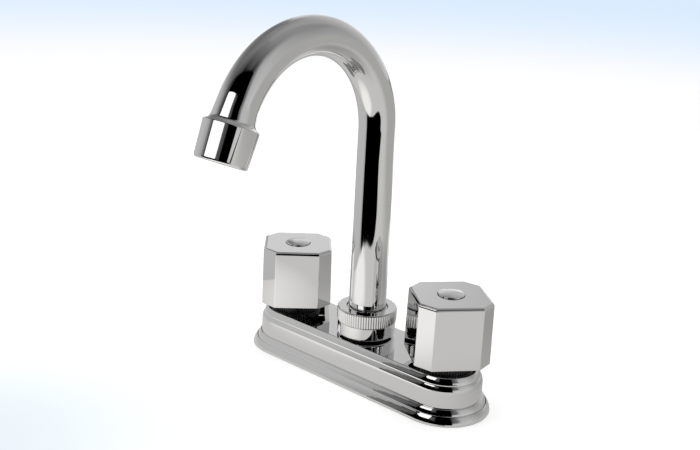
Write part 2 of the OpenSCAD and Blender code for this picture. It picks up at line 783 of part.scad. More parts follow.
// Flow insert: a drilled plate over an open cup with six ribs
module aerator_insert() {
    color(WHITE_PLASTIC) at_outlet() {
        difference() {
            ring(insert_r, insert_r - insert_wall, insert_z, screen_z);
            for (a = [30 : 60 : 359]) rotate([0, 0, a])
                translate([insert_r - 2 * insert_wall, -window_w / 2, window_z])
                cube([4 * insert_wall, window_w, window_h]);
        }
        difference() {
            translate([0, 0, insert_z]) cylinder(r = insert_r - insert_wall / 2, h = insert_plate_t);
            for (a = [0 : 30 : 359]) rotate([0, 0, a])
                translate([drill_ring_r, 0, insert_z - insert_plate_t])
                cylinder(r = drill_r, h = 3 * insert_plate_t);
        }
        for (a = [0, 60, 120]) rotate([0, 0, a])
            translate([insert_wall / 2 - insert_r, -insert_rib_t / 2, screen_z - insert_rib_h - 0.1])
            cube([2 * insert_r - insert_wall, insert_rib_t, insert_rib_h]);
    }
}

// Screen in a rim, on the housing's lip
module aerator_screen() {
    cells = floor(insert_r / mesh_pitch);
    color(STEEL) at_outlet() translate([0, 0, screen_z]) linear_extrude(screen_t) difference() {
        circle(insert_r);
        for (i = [-cells : cells], j = [-cells : cells])
            if (norm([abs(i) + 0.5, abs(j) + 0.5]) * mesh_pitch < insert_r - edge)
                translate([i * mesh_pitch, j * mesh_pitch])
                square(mesh_pitch - mesh_wire, center = true);
    }
}

base_cover();
deck_gasket();
shank_washers();
shank_nuts();
valve_body(-1);  // hot_valve_body
valve_body(1);  // cold_valve_body
cross_tube(-1);  // hot_cross_tube
cross_tube(1);  // cold_cross_tube
spout_hub();
seat(-1);  // hot_seat
seat(1);  // cold_seat
seat_washer(-1);  // hot_seat_washer
seat_washer(1);  // cold_seat_washer
washer_screw(-1);  // hot_washer_screw
washer_screw(1);  // cold_washer_screw
plunger(-1);  // hot_plunger
plunger(1);  // cold_plunger
spindle(-1);  // hot_spindle
spindle(1);  // cold_spindle
spindle_rings(-1);  // hot_spindle_rings
spindle_rings(1);  // cold_spindle_rings
spindle_clip(-1);  // hot_spindle_clip
spindle_clip(1);  // cold_spindle_clip
bonnet(-1);  // hot_bonnet
bonnet(1);  // cold_bonnet
bonnet_gasket(-1);  // hot_bonnet_gasket
bonnet_gasket(1);  // cold_bonnet_gasket
lock_ring(-1);  // hot_lock_ring
lock_ring(1);  // cold_lock_ring
knob(-1);  // hot_knob
knob(1);  // cold_knob
knob_screw(-1);  // hot_knob_screw
knob_screw(1);  // cold_knob_screw
index_button(-1);  // hot_index_button
index_button(1);  // cold_index_button
spout_nut();
spout_friction_ring();
spout_collar();
spout_rings();
spout_tube();
aerator_housing();
aerator_washer();
aerator_insert();
aerator_screen();
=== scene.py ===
import math

import bmesh
import bpy
import numpy as np
from mathutils import Matrix, Vector


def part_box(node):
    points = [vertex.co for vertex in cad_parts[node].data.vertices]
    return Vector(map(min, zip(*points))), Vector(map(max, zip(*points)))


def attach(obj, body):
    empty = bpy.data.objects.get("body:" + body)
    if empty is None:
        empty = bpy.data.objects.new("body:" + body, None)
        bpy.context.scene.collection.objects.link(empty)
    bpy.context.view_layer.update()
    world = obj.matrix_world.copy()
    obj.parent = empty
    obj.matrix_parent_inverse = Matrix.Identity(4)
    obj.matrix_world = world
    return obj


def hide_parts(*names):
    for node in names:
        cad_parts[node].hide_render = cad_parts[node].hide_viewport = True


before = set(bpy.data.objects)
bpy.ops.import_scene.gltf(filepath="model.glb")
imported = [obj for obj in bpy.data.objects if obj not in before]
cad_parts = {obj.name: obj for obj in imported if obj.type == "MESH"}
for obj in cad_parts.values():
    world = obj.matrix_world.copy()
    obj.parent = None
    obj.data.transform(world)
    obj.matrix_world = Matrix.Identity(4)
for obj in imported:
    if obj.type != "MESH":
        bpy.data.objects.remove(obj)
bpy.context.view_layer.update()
scene = bpy.context.scene
mm = 0.001

# -------- photographer's camera
# It stands half a metre from the tap, in front of it on the cold knob's side, and looks down on
# it. The place and the turn come from the pinhole camera that was fitted to the photograph.
PICTURE_WIDTH = 700
FOCAL_PIXELS = 910.3
CAMERA_PLACE = Vector((0.2762, -0.3355, 0.2138))
CAMERA_YAW, CAMERA_PITCH, CAMERA_ROLL = 40.89, -17.21, 2.71

camera_data = bpy.data.cameras.new("photograph")
camera_data.sensor_width = 36.0
camera_data.lens = FOCAL_PIXELS / PICTURE_WIDTH * camera_data.sensor_width
camera_data.clip_start, camera_data.clip_end = 0.01, 50.0
camera = bpy.data.objects.new("photograph", camera_data)
scene.collection.objects.link(camera)
camera.matrix_world = (Matrix.Translation(CAMERA_PLACE)
                       @ Matrix.Rotation(math.radians(CAMERA_YAW), 4, "Z")
                       @ Matrix.Rotation(math.radians(90 + CAMERA_PITCH), 4, "X")
                       @ Matrix.Rotation(math.radians(CAMERA_ROLL), 4, "Z"))
scene.camera = camera
scene.view_settings.view_transform = "Standard"

# -------- light tent
# Grey cloth hangs all round, and polished metal shows it as soft steps of grey: a bright window
# behind on the left, paler cloth on the right, and dark overhead in front. Each side is (its
# azimuth from the front towards the right, ((elevation, level), ...)), in degrees and radiance.
TENT = (
    (-180, ((0, 0.58), (20, 0.54), (36, 0.46), (45, 0.39), (68, 0.36), (84, 0.32))),
    (-165, ((0, 0.90), (8, 0.70), (28, 0.55), (45, 0.42), (55, 0.36), (84, 0.31))),
    (-150, ((0, 1.15), (6, 1.02), (12, 0.76), (20, 0.50), (28, 0.55), (45, 0.41), (55, 0.34),
            (84, 0.31))),
    (-143, ((0, 0.88), (8, 0.80), (16, 0.72), (24, 0.60), (36, 0.46), (45, 0.31), (84, 0.31))),
    (-133, ((0, 0.58), (8, 0.70), (16, 0.74), (24, 0.66), (36, 0.44), (45, 0.26), (84, 0.31))),
    (-128, ((0, 0.40), (28, 0.26), (45, 0.22), (84, 0.30))),
    (-122, ((0, 0.30), (28, 0.17), (40, 0.17), (55, 0.27), (84, 0.29))),
    (-90, ((0, 0.52), (12, 0.46), (28, 0.22), (45, 0.15), (84, 0.26))),
    (-66, ((0, 0.62), (12, 0.58), (20, 0.42), (30, 0.24), (38, 0.15), (84, 0.24))),
    (-40, ((0, 0.55), (20, 0.42), (30, 0.18), (45, 0.07), (84, 0.21))),
    (0, ((0, 0.50), (20, 0.30), (30, 0.05), (60, 0.01), (84, 0.20))),
    (62, ((0, 0.60), (9, 0.55), (16, 0.10), (50, 0.02), (60, 0.12), (84, 0.22))),
    (76, ((0, 0.64), (10, 0.60), (18, 0.14), (36, 0.20), (50, 0.12), (84, 0.24))),
    (86, ((0, 0.62), (12, 0.54), (36, 0.46), (55, 0.17), (84, 0.26))),
    (105, ((0, 0.62), (12, 0.55), (36, 0.46), (55, 0.25), (84, 0.28))),
    (135, ((0, 0.42), (20, 0.34), (45, 0.29), (84, 0.30))),
    (153, ((0, 0.45), (20, 0.37), (36, 0.28), (84, 0.31))),
    (168, ((0, 0.60), (12, 0.52), (36, 0.39), (84, 0.31))),
    (180, ((0, 0.58), (20, 0.54), (36, 0.46), (45, 0.39), (68, 0.36), (84, 0.32))),
)
HORIZON_TINT = (0.72, 0.84, 1.0, 1.0)


def place(tree, kind, inputs=None, **settings):
    """Adds a shader node. Settings are its properties; an input is a link where it is a socket."""
    node = tree.nodes.new(kind)
    for key, value in settings.items():
        setattr(node, key, value)
    for key, value in (inputs or {}).items():
        if isinstance(value, bpy.types.NodeSocket):
            tree.links.new(value, node.inputs[key])
        else:
            node.inputs[key].default_value = value
    return node


def sums(tree, operation, a, b=0.0, clamp=False):
    """One Math node of that operation, and its result."""
    return place(tree, "ShaderNodeMath", {0: a, 1: b}, operation=operation, use_clamp=clamp).outputs[0]


def smooth_step(tree, value, low, high, start=0.0, end=1.0):
    """Start below low, end above high, and a smooth S between them."""
    return place(tree, "ShaderNodeMapRange",
                 {"Value": value, "From Min": low, "From Max": high, "To Min": start, "To Max": end},
                 interpolation_type="SMOOTHSTEP").outputs[0]


def grey_ramp(tree, factor, stops):
    """A colour ramp of greys from (position, level) stops."""
    ramp = place(tree, "ShaderNodeValToRGB", {"Fac": factor})
    elements = ramp.color_ramp.elements
    elements.remove(elements[1])
    for i, (position, level) in enumerate(stops):
        stop = elements[0] if i == 0 else elements.new(position)
        stop.position = position
        stop.color = (level, level, level, 1.0)
    return ramp.outputs[0]


def product(tree, *sockets):
    """Several values multiplied."""
    result = sockets[0]
    for socket in sockets[1:]:
        result = sums(tree, "MULTIPLY", result, socket)
    return result


def xyz(tree, vector=None):
    """The parts of a vector, or of the place on the object, as outputs X, Y and Z."""
    if vector is None:
        vector = place(tree, "ShaderNodeTexCoord").outputs["Object"]
    return place(tree, "ShaderNodeSeparateXYZ", {0: vector}).outputs


def mix(tree, share, first, second, kind="FLOAT"):
    """Two values mixed: all of the second where share is 1."""
    return place(tree, "ShaderNodeMix", {"Factor": share, "A": first, "B": second},
                 data_type=kind).outputs["Result"]


def blend(tree, share, first, second):
    """Two shaders mixed: all of the second where share is 1."""
    return place(tree, "ShaderNodeMixShader", {0: share, 1: first, 2: second}).outputs[0]


tent = bpy.data.worlds.new("light_tent")
tent.use_nodes = True
scene.world = tent
air = tent.node_tree
air.nodes.clear()
toward = xyz(air, place(air, "ShaderNodeTexCoord").outputs["Generated"])
height = sums(air, "DIVIDE", sums(air, "ARCSINE", toward["Z"]), math.pi / 2, clamp=True)
bearing = sums(air, "ARCTAN2", toward["X"], sums(air, "MULTIPLY", toward["Y"], -1.0))
azimuth = sums(air, "MULTIPLY", bearing, 180 / math.pi)
level, before = None, None
for turn, steps in TENT:
    side = grey_ramp(air, height, [(e / 90, v) for e, v in steps])
    if level is not None:
        share = place(air, "ShaderNodeMapRange",
                      {"Value": azimuth, "From Min": before, "From Max": turn}).outputs[0]
        side = mix(air, share, level, side)
    level, before = side, turn
cloth = place(air, "ShaderNodeBackground", {"Color": level}).outputs[0]
horizon = place(air, "ShaderNodeBackground", {"Color": HORIZON_TINT}).outputs[0]
seen = place(air, "ShaderNodeLightPath").outputs["Is Camera Ray"]
place(air, "ShaderNodeOutputWorld", {"Surface": blend(air, seen, cloth, horizon)})

# -------- counter top
# A white sheet under the tap, just below its foot. The camera sees it white with a faint blue
# far off, polished metal sees the pools of light on it, and it takes the tap's shadow.
SHEET_R = 30.0
SHEET_DROP = 0.1 * mm
SHEET_PAINT = (0.80, 0.80, 0.80, 1.0)
FAR_TINT, TINT_NEAR, TINT_FAR = (0.70, 0.835, 1.0, 1.0), 1.18, 5.0
VIEW_GLOW, SHADOW_NEAR, SHADOW_FAR = 0.45, 0.5, 1.2
POOL_TINT = (1.0, 0.990, 0.966, 1.0)
# each patch of light or shade is ((x, y), inner radius, outer radius, level)
CORNER, CORNER_TINT = ((-0.075, -0.195), 0.0, 0.19, 1.0), (0.82, 0.895, 0.945, 1.0)
VALLEY = ((0.09, 0.085), 0.03, 0.15, 0.20)
POOLS = (((-0.045, -0.145), 0.05, 0.20, 1.0),
         ((-0.03, 0.21), 0.04, 0.12, 0.85),
         ((-0.25, 0.55), 0.10, 0.38, 1.0))
# the others are steps along x or y, each (from, to, value before, value after): the sheet's grey
# and its fall on the left, and the bends and the softness of the line where its light ends
GREY_BACKWARDS = (0.0, 0.28, 0.63, 0.44)
FALL_LEFT, FALL_FROM = (-0.40, -0.20, 0.18, 0.0), (-0.15, 0.0)
LINE_Y, LINE_SLOPE_FROM = -0.235, -0.10
LINE_BENDS = ((0.04, 0.25, 0.0, 0.11), (0.27, 0.50, 0.0, -0.12), (-0.08, -0.02, 0.035, 0.0))
LINE_SOFTNESS = (-0.16, -0.04, 0.075, 0.010)


def smooth_mesh(name, points, faces, crease=35.0):
    """A mesh object from points and faces: doubles merged, faces turned outwards, and smooth
    except across edges sharper than crease degrees."""
    mesh = bpy.data.meshes.new(name)
    mesh.from_pydata(points.tolist(), [], faces.tolist())
    work = bmesh.new()
    work.from_mesh(mesh)
    bmesh.ops.remove_doubles(work, verts=work.verts, dist=1e-7)
    bmesh.ops.recalc_face_normals(work, faces=work.faces)
    work.to_mesh(mesh)
    work.free()
    mesh.shade_smooth()
    mesh.set_sharp_from_angle(angle=math.radians(crease))
    piece = bpy.data.objects.new(name, mesh)
    scene.collection.objects.link(piece)
    return piece


def staged(name, corners, shader_tree):
    """A flat stage piece with four corners, and a material whose nodes shader_tree makes."""
    piece = smooth_mesh(name, np.array(corners, float), np.array([(0, 1, 2, 3)]))
    material = bpy.data.materials.new(name)
    material.use_nodes = True
    material.node_tree.nodes.clear()
    place(material.node_tree, "ShaderNodeOutputMaterial", {"Surface": shader_tree(material.node_tree)})
    piece.data.materials.append(material)
    return piece


def colour_mix(tree, share, first, second):
    """Two colours mixed: all of the second where share is 1."""
    return mix(tree, share, first, second, "RGBA")


def glow(tree, colour, strength=1.0):
    """An even emission of that colour."""
    return place(tree, "ShaderNodeEmission", {"Color": colour, "Strength": strength}).outputs[0]


def clear(tree):
    """A shader that lets everything through."""
    return place(tree, "ShaderNodeBsdfTransparent").outputs[0]


def patch(tree, spot, centre, inner, outer, level):
    """A round patch of that level on the sheet, and 0 beyond its soft edge."""
    away = place(tree, "ShaderNodeVectorMath", {0: spot, 1: (*centre, 0.0)}, operation="DISTANCE")
    return smooth_step(tree, away.outputs["Value"], inner, outer, level, 0.0)


def sheet_shader(tree):
    """Camera rays: painted sheet and a glow that lifts it to white, bluer far off and in the near
    corner. Mirror rays: mid grey that dims backwards, pools of light in front of the tap and
    behind it, and black beyond the line where the sheet leaves the light. From below it isn't
    there."""
    spot = place(tree, "ShaderNodeTexCoord").outputs["Object"]
    away = place(tree, "ShaderNodeVectorMath", {0: spot}, operation="LENGTH").outputs["Value"]
    far = smooth_step(tree, sums(tree, "DIVIDE", 1.0, away), 1 / TINT_FAR, 1 / TINT_NEAR, 1.0, 0.0)
    paint = colour_mix(tree, far, (1.0, 1.0, 1.0, 1.0), FAR_TINT)
    lit = place(tree, "ShaderNodeBsdfDiffuse", {"Color": SHEET_PAINT}).outputs[0]
    near_view = place(tree, "ShaderNodeAddShader", {0: lit, 1: glow(tree, paint, VIEW_GLOW)}).outputs[0]
    view = blend(tree, smooth_step(tree, away, SHADOW_NEAR, SHADOW_FAR), near_view, glow(tree, paint))
    view = blend(tree, patch(tree, spot, *CORNER), view, glow(tree, CORNER_TINT))
    along = xyz(tree, spot)
    x, y = along["X"], along["Y"]
    grey = sums(tree, "SUBTRACT", smooth_step(tree, y, *GREY_BACKWARDS), patch(tree, spot, *VALLEY))
    fall = product(tree, smooth_step(tree, x, *FALL_LEFT), smooth_step(tree, y, *FALL_FROM))
    level = sums(tree, "SUBTRACT", grey, fall)
    for pool in POOLS:
        level = sums(tree, "MAXIMUM", level, patch(tree, spot, *pool))
    beyond = sums(tree, "SUBTRACT", y, LINE_Y)
    slope = sums(tree, "MINIMUM", sums(tree, "SUBTRACT", x, LINE_SLOPE_FROM), 0.0)
    for rise in [smooth_step(tree, x, *bend) for bend in LINE_BENDS] + [slope]:
        beyond = sums(tree, "SUBTRACT", beyond, rise)
    beyond = sums(tree, "DIVIDE", beyond, smooth_step(tree, x, *LINE_SOFTNESS))
    lit_side = smooth_step(tree, beyond, -1.0, 1.0)
    mirror = glow(tree, colour_mix(tree, product(tree, level, lit_side), (0.0, 0.0, 0.0, 1.0), POOL_TINT))
    rays = place(tree, "ShaderNodeLightPath").outputs
    glossy = sums(tree, "MAXIMUM", rays["Is Glossy Ray"], rays["Is Transmission Ray"])
    above = blend(tree, rays["Is Camera Ray"], blend(tree, glossy, lit, mirror), view)
    under = place(tree, "ShaderNodeNewGeometry").outputs["Backfacing"]
    return blend(tree, under, above, clear(tree))


staged("counter_sheet",
       [(x * SHEET_R, y * SHEET_R, -SHEET_DROP) for x, y in ((-1, -1), (1, -1), (1, 1), (-1, 1))],
       sheet_shader)

# -------- black opening and window lamp
# The tent's front is open to a dark room, and a white lamp hangs in the opening. Only mirror rays
# see them. The cloth dims towards the opening's left edge, beside the lamp hangs a grey strip, and
# a low grey card stands on the tap's left.
OPENING_Y = -0.29
OPENING_EDGES = ((-0.30, 0.0), (-0.13, 0.70), (-0.116, 1.0), (0.55, 1.0), (0.60, 0.0))
OPENING_H, TOP_AT_MIDDLE, TOP_SLOPE = 0.80, 0.495, 0.38
TOP_SOFT_BELOW, TOP_SOFT_ABOVE = -0.035, 0.03
LAMP_EDGES = (-0.105, 0.082, 0.155, 0.322)
LAMP_LEVEL, LAMP_ROUND, LAMP_SOFT, LAMP_AHEAD = 1.25, 0.04, 0.002, 0.001
# the strip's level is the product of steps, each (axis, from, to, value before, value after)
STRIP = (("X", 0.085, 0.089, 0.0, 1.0), ("X", 0.135, 0.165, 1.0, 0.0), ("Z", 0.12, 0.14, 0.0, 0.075),
         ("Z", 0.31, 0.33, 1.0, 0.0), ("X", 0.105, 0.115, 1.5, 1.0))
CARD_FRONT, CARD_BACK = (-0.094, -0.195), (-0.218, 0.085)
CARD_H, CARD_LEVEL, CARD_DIM, CARD_DIM_TO, CARD_FADE = 0.205, 0.54, 0.40, -0.14, 0.03


def opening_shader(tree):
    """Black by the stops of OPENING_EDGES along x, clear above a slanting top edge, and the grey
    strip beside the lamp."""
    spot = xyz(tree)
    first, last = OPENING_EDGES[0][0], OPENING_EDGES[-1][0]
    along = sums(tree, "DIVIDE", sums(tree, "SUBTRACT", spot["X"], first), last - first)
    across = grey_ramp(tree, along, [((x - first) / (last - first), v) for x, v in OPENING_EDGES])
    top = sums(tree, "ADD", sums(tree, "MULTIPLY", spot["X"], TOP_SLOPE), TOP_AT_MIDDLE)
    over = sums(tree, "SUBTRACT", spot["Z"], top)
    below = smooth_step(tree, over, TOP_SOFT_BELOW, TOP_SOFT_ABOVE, 1.0, 0.0)
    strip = product(tree, *[smooth_step(tree, spot[axis], *step) for axis, *step in STRIP])
    return blend(tree, product(tree, across, below), clear(tree), glow(tree, strip))


def lamp_shader(tree):
    """An even white glow with rounded lower corners: clear where the distance from the lamp's
    area, moved in by LAMP_ROUND at its sides and foot, is more than LAMP_ROUND."""
    x0, x1, z0 = LAMP_EDGES[:3]
    spot = xyz(tree)
    from_middle = sums(tree, "ABSOLUTE", sums(tree, "SUBTRACT", spot["X"], (x0 + x1) / 2))
    beside = sums(tree, "SUBTRACT", from_middle, (x1 - x0) / 2 - LAMP_ROUND)
    below = sums(tree, "SUBTRACT", z0 + LAMP_ROUND, spot["Z"])
    from_corner = place(tree, "ShaderNodeCombineXYZ", {0: sums(tree, "MAXIMUM", beside, 0.0),
                                                       1: sums(tree, "MAXIMUM", below, 0.0)}).outputs[0]
    away = place(tree, "ShaderNodeVectorMath", {0: from_corner}, operation="LENGTH").outputs["Value"]
    outside = smooth_step(tree, away, LAMP_ROUND - LAMP_SOFT, LAMP_ROUND + LAMP_SOFT)
    return blend(tree, outside, glow(tree, (1.0, 1.0, 1.0, 1.0), LAMP_LEVEL), clear(tree))


def card_shader(tree):
    """A glow that dims towards the front, and fades out to clear at the card's top."""
    spot = xyz(tree)
    level = smooth_step(tree, spot["Y"], CARD_FRONT[1], CARD_DIM_TO, CARD_DIM, CARD_LEVEL)
    at_top = smooth_step(tree, spot["Z"], CARD_H - CARD_FADE, CARD_H)
    return blend(tree, at_top, glow(tree, level), clear(tree))


def hung(name, start, end, z0, z1, shader_tree):
    """An upright stage piece between two (x, y), which only mirror rays see."""
    piece = staged(name, [(*start, z0), (*end, z0), (*end, z1), (*start, z1)], shader_tree)
    piece.visible_camera = piece.visible_diffuse = piece.visible_shadow = False
    piece.visible_transmission = piece.visible_volume_scatter = False


hung("tent_opening", (OPENING_EDGES[0][0], OPENING_Y), (OPENING_EDGES[-1][0], OPENING_Y), 0.0, OPENING_H,
     opening_shader)
x0, x1, z0, z1 = LAMP_EDGES
hung("window_lamp", (x0, OPENING_Y + LAMP_AHEAD), (x1, OPENING_Y + LAMP_AHEAD), z0, z1, lamp_shader)
hung("low_card", CARD_FRONT, CARD_BACK, 0.0, CARD_H, card_shader)

# -------- soft lamps
# Two cloth-covered lamps light the sheet and the dull pieces: a large one overhead and a
# smaller one in front on the left. Mirrors don't show them, because the tent stands for them.
SOFT_LAMPS = (
    ("overhead_lamp", (0.0, 0.1, 1.5), 1.4, 15.0),
    ("front_lamp", (-0.9, -0.9, 1.1), 0.8, 7.0),
)
LAMPS_AIM = Vector((0.0, 0.0, 0.05))
for name, spot, width, watts in SOFT_LAMPS:
    light = bpy.data.lights.new(name, "AREA")
    light.shape, light.size, light.energy = "SQUARE", width, watts
    shade = bpy.data.objects.new(name, light)
    scene.collection.objects.link(shade)
    aim = (LAMPS_AIM - Vector(spot)).to_track_quat("-Z", "Y")
    shade.matrix_world = Matrix.Translation(spot) @ aim.to_matrix().to_4x4()
    shade.visible_glossy = False

# -------- base cover
# One oblong shell with four rounded steps, cast, buffed and chrome plated. It stands on the
# counter by its flange, and the two lock rings clamp its flat top to the valves' shoulders.
cover_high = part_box("base_cover")[1]
FLANGE_R = cover_high.y
VALVE_X = cover_high.x - FLANGE_R
COVER_TOP = cover_high.z
FLANGE_Z, BEAD_Z, LEDGE_Z = 3.5 * mm, 7.1 * mm, 18.2 * mm
BEAD_R, SIDE_R, RIM_R = 20.9 * mm, 18.6 * mm, 17.3 * mm
FLANGE_ROUND, SHOULDER_ROUND = 8.0 * mm, 6.2 * mm
NOSE_TILT, NOSE_TURN, NOSE_EDGE = 8, 38, 0.4 * mm
TREAD, FOOT_IN = 0.2 * mm, 0.05 * mm
COVER_WALL, BEAD_WALL = 1.8 * mm, 0.6 * mm
DECK_FOOT = COVER_TOP - 2.0 * mm
VALVE_HOLE_R, HUB_HOLE_R, HOLE_EDGE = 10.9 * mm, 12.1 * mm, 0.25 * mm
END_STEPS, SIDE_STEPS, DECK_STEPS = 56, 80, 28
HOLD = 0.08 * mm
GLOSS, HAZE = 0.025, 0.05
PATCH_SCALE, WIPE_SCALE, RIPPLE_SCALE = 45.0, 420.0, 260.0
PLATE_TONES = (0.813, 0.811, 0.811, 1.0), (0.841, 0.838, 0.836, 1.0)


def arc(x, y, radius, start, end, steps=None):
    """Points (x + radius cos a, y + radius sin a), with a from start to end degrees."""
    steps = steps or max(2, math.ceil(abs(end - start) / 9))
    a = np.radians(np.linspace(start, end, steps + 1))
    return np.column_stack([x + radius * np.cos(a), y + radius * np.sin(a)])


def held(points, closed=True, gap=HOLD):
    """Adds a point a gap inside both ends of each long side, so that smooth shading keeps the
    sides flat up to their rounded corners."""
    points = np.asarray(points, float)
    ahead = np.roll(points, -1, axis=0)
    step = ahead - points
    length = np.linalg.norm(step, axis=1)
    inset = step * (gap / np.maximum(length, 1e-9))[:, None]
    rows = np.stack([points, points + inset, ahead - inset], axis=1)
    long = length > 4.5 * gap
    if not closed:
        long[-1] = False
    keep = np.stack([np.ones_like(long), long, long], axis=1)
    return rows[keep]


def quads(rows, columns, loop_rows, loop_columns, first=0):
    """Faces of a grid of points: (i, j) joins (i, j + 1), (i + 1, j + 1) and (i + 1, j). In a
    looped direction the last line joins the first."""
    i = np.arange(rows if loop_rows else rows - 1)[:, None]
    j = np.arange(columns if loop_columns else columns - 1)[None, :]
    after_i, after_j = (i + 1) % rows, (j + 1) % columns
    corners = [i * columns + j, i * columns + after_j, after_i * columns + after_j, after_i * columns + j]
    return np.stack(corners, axis=-1).reshape(-1, 4) + first


def from_grids(name, *grids, crease=35.0):
    """One object from grids of points, each given as (points, loop_rows, loop_columns)."""
    points, faces, first = [], [], 0
    for grid, loop_rows, loop_columns in grids:
        faces.append(quads(*grid.shape[:2], loop_rows, loop_columns, first))
        points.append(grid.reshape(-1, 3))
        first += len(points[-1])
    return smooth_mesh(name, np.vstack(points), np.vstack(faces), crease)


def stadium():
    """Centres and directions round an oblong with round ends: the right end, the back side, the
    left end and the front side, as arrays of centre x and of angle."""
    end = np.linspace(-90, 90, END_STEPS + 1)[:-1]
    side = np.linspace(VALVE_X, -VALVE_X, SIDE_STEPS + 1)[:-1]
    centre = np.concatenate([np.full(END_STEPS, VALVE_X), side, np.full(END_STEPS, -VALVE_X), -side])
    angle = np.concatenate([end, np.full(SIDE_STEPS, 90.0), end + 180, np.full(SIDE_STEPS, 270.0)])
    return centre, np.radians(angle)


def round_stadium(profile):
    """Carries profile points (r, z) round the oblong: (centre + r cos a, r sin a, z)."""
    centre, angle = stadium()
    r, z = profile[:, :1], profile[:, 1:]
    return np.stack([centre + r * np.cos(angle), r * np.sin(angle), z + 0 * angle], axis=-1)


def level_at(outline, z):
    """An outline's points (x, y) at that height."""
    return np.column_stack([outline, np.full(len(outline), z)])


def deck_cell(deck_r, left, right, hole_x, hole_r):
    """The flat deck from x = left to right round one hole. Its outline points are sorted round
    the hole; the grid runs from them to the hole's edge, down its wall and back underneath."""
    rim = round_stadium(np.array([[deck_r, 0.0]]))[0, :, :2]
    tiny = 1e-6
    outline = [rim[(rim[:, 0] > left - tiny) & (rim[:, 0] < right + tiny)]]
    across = np.linspace(-deck_r, deck_r, DECK_STEPS + 1)[1:-1]
    for x in (left, right):
        if abs(x) < VALVE_X:
            outline.append(np.column_stack([np.full_like(across, x), across]))
    outline = np.vstack(outline)
    outline = outline[np.argsort(np.arctan2(outline[:, 1], outline[:, 0] - hole_x))]
    centre = np.array([hole_x, 0.0])
    out = outline - centre
    out /= np.linalg.norm(out, axis=1, keepdims=True)
    wall = held(np.vstack([
        [[hole_r + 2 * HOLE_EDGE, COVER_TOP]],
        arc(hole_r + HOLE_EDGE, COVER_TOP - HOLE_EDGE, HOLE_EDGE, 90, 180),
        arc(hole_r + HOLE_EDGE, DECK_FOOT + HOLE_EDGE, HOLE_EDGE, 180, 270),
        [[hole_r + 2 * HOLE_EDGE, DECK_FOOT]]]), closed=False)
    rows = [level_at(centre + out * r, z) for r, z in wall]
    return np.stack([level_at(outline, COVER_TOP), *rows, level_at(outline, DECK_FOOT)])


def nosing(radius, foot, top):
    """A step's rounded nose from its foot: a large arc that tilts from NOSE_TILT to NOSE_TURN
    degrees, then a small one that ends level at the top."""
    tilt, turn = math.radians(NOSE_TILT), math.radians(NOSE_TURN)
    large = (top - foot - NOSE_EDGE * (1 - math.sin(turn))) / (math.sin(turn) - math.sin(tilt))
    x, z = radius - large * math.cos(tilt), foot - large * math.sin(tilt)
    inward = x + (large - NOSE_EDGE) * math.cos(turn)
    return np.vstack([arc(x, z, large, NOSE_TILT, NOSE_TURN, 8),
                      arc(inward, top - NOSE_EDGE, NOSE_EDGE, NOSE_TURN, 90)[1:]])


tilt = math.radians(NOSE_TILT)
flange_x, flange_z = FLANGE_R - FLANGE_ROUND * math.cos(tilt), -FLANGE_ROUND * math.sin(tilt)
flange_meets = math.degrees(math.acos((BEAD_R + TREAD - flange_x) / FLANGE_ROUND))
shoulder_x = SIDE_R - SHOULDER_ROUND
ledge_meets = math.degrees(math.acos((RIM_R + TREAD - shoulder_x) / SHOULDER_ROUND))
shoulder_z = LEDGE_Z - TREAD - SHOULDER_ROUND * math.sin(math.radians(ledge_meets))
rim_nose = nosing(RIM_R, LEDGE_Z, COVER_TOP)
deck_r = rim_nose[-1, 0] - HOLD
flange_in, bead_in, side_in = FLANGE_R - COVER_WALL, SIDE_R - BEAD_WALL, SIDE_R - COVER_WALL
flange_under, bead_under = FLANGE_Z - COVER_WALL / 2, BEAD_Z - COVER_WALL / 2
inside = [(flange_in, 0), (flange_in, flange_under), (bead_in, flange_under), (bead_in, bead_under),
          (side_in, bead_under), (side_in, LEDGE_Z - COVER_WALL),
          (RIM_R - COVER_WALL, LEDGE_Z - COVER_WALL), (RIM_R - COVER_WALL, DECK_FOOT)]
cover_profile = np.vstack([
    [[deck_r, DECK_FOOT]], inside[::-1], [[FLANGE_R - FOOT_IN, 0]],
    arc(flange_x, flange_z, FLANGE_ROUND, NOSE_TILT, flange_meets, 8),
    nosing(BEAD_R, FLANGE_Z, BEAD_Z),
    [[SIDE_R, BEAD_Z + HOLD]],
    arc(shoulder_x, shoulder_z, SHOULDER_ROUND, 0, ledge_meets, 8),
    rim_nose])
shell = round_stadium(held(cover_profile, closed=False))
base_cover = from_grids(
    "base_cover_shell", (shell, False, True),
    (deck_cell(deck_r, -2 * VALVE_X, -VALVE_X / 2, -VALVE_X, VALVE_HOLE_R), False, True),
    (deck_cell(deck_r, -VALVE_X / 2, VALVE_X / 2, 0.0, HUB_HOLE_R), False, True),
    (deck_cell(deck_r, VALVE_X / 2, 2 * VALVE_X, VALVE_X, VALVE_HOLE_R), False, True))


def shader_group(name, inputs, outputs):
    """An empty node group with those sockets, as (group, its inputs, its output node)."""
    group = bpy.data.node_groups.new(name, "ShaderNodeTree")
    for sockets, way in ((inputs, "INPUT"), (outputs, "OUTPUT")):
        for socket, kind in sockets.items():
            group.interface.new_socket(name=socket, in_out=way, socket_type="NodeSocket" + kind)
    return group, place(group, "NodeGroupInput").outputs, place(group, "NodeGroupOutput")


def noise(tree, vector, scale, detail=2.0, rough=0.5):
    """A noise texture's value."""
    return place(tree, "ShaderNodeTexNoise", {"Vector": vector, "Scale": scale, "Detail": detail,
                                              "Roughness": rough}).outputs["Fac"]


def stretched(tree, vector, scale):
    """Coordinates scaled along each axis, which stretches a texture along the small scales."""
    return place(tree, "ShaderNodeMapping", {"Vector": vector, "Scale": scale}).outputs[0]


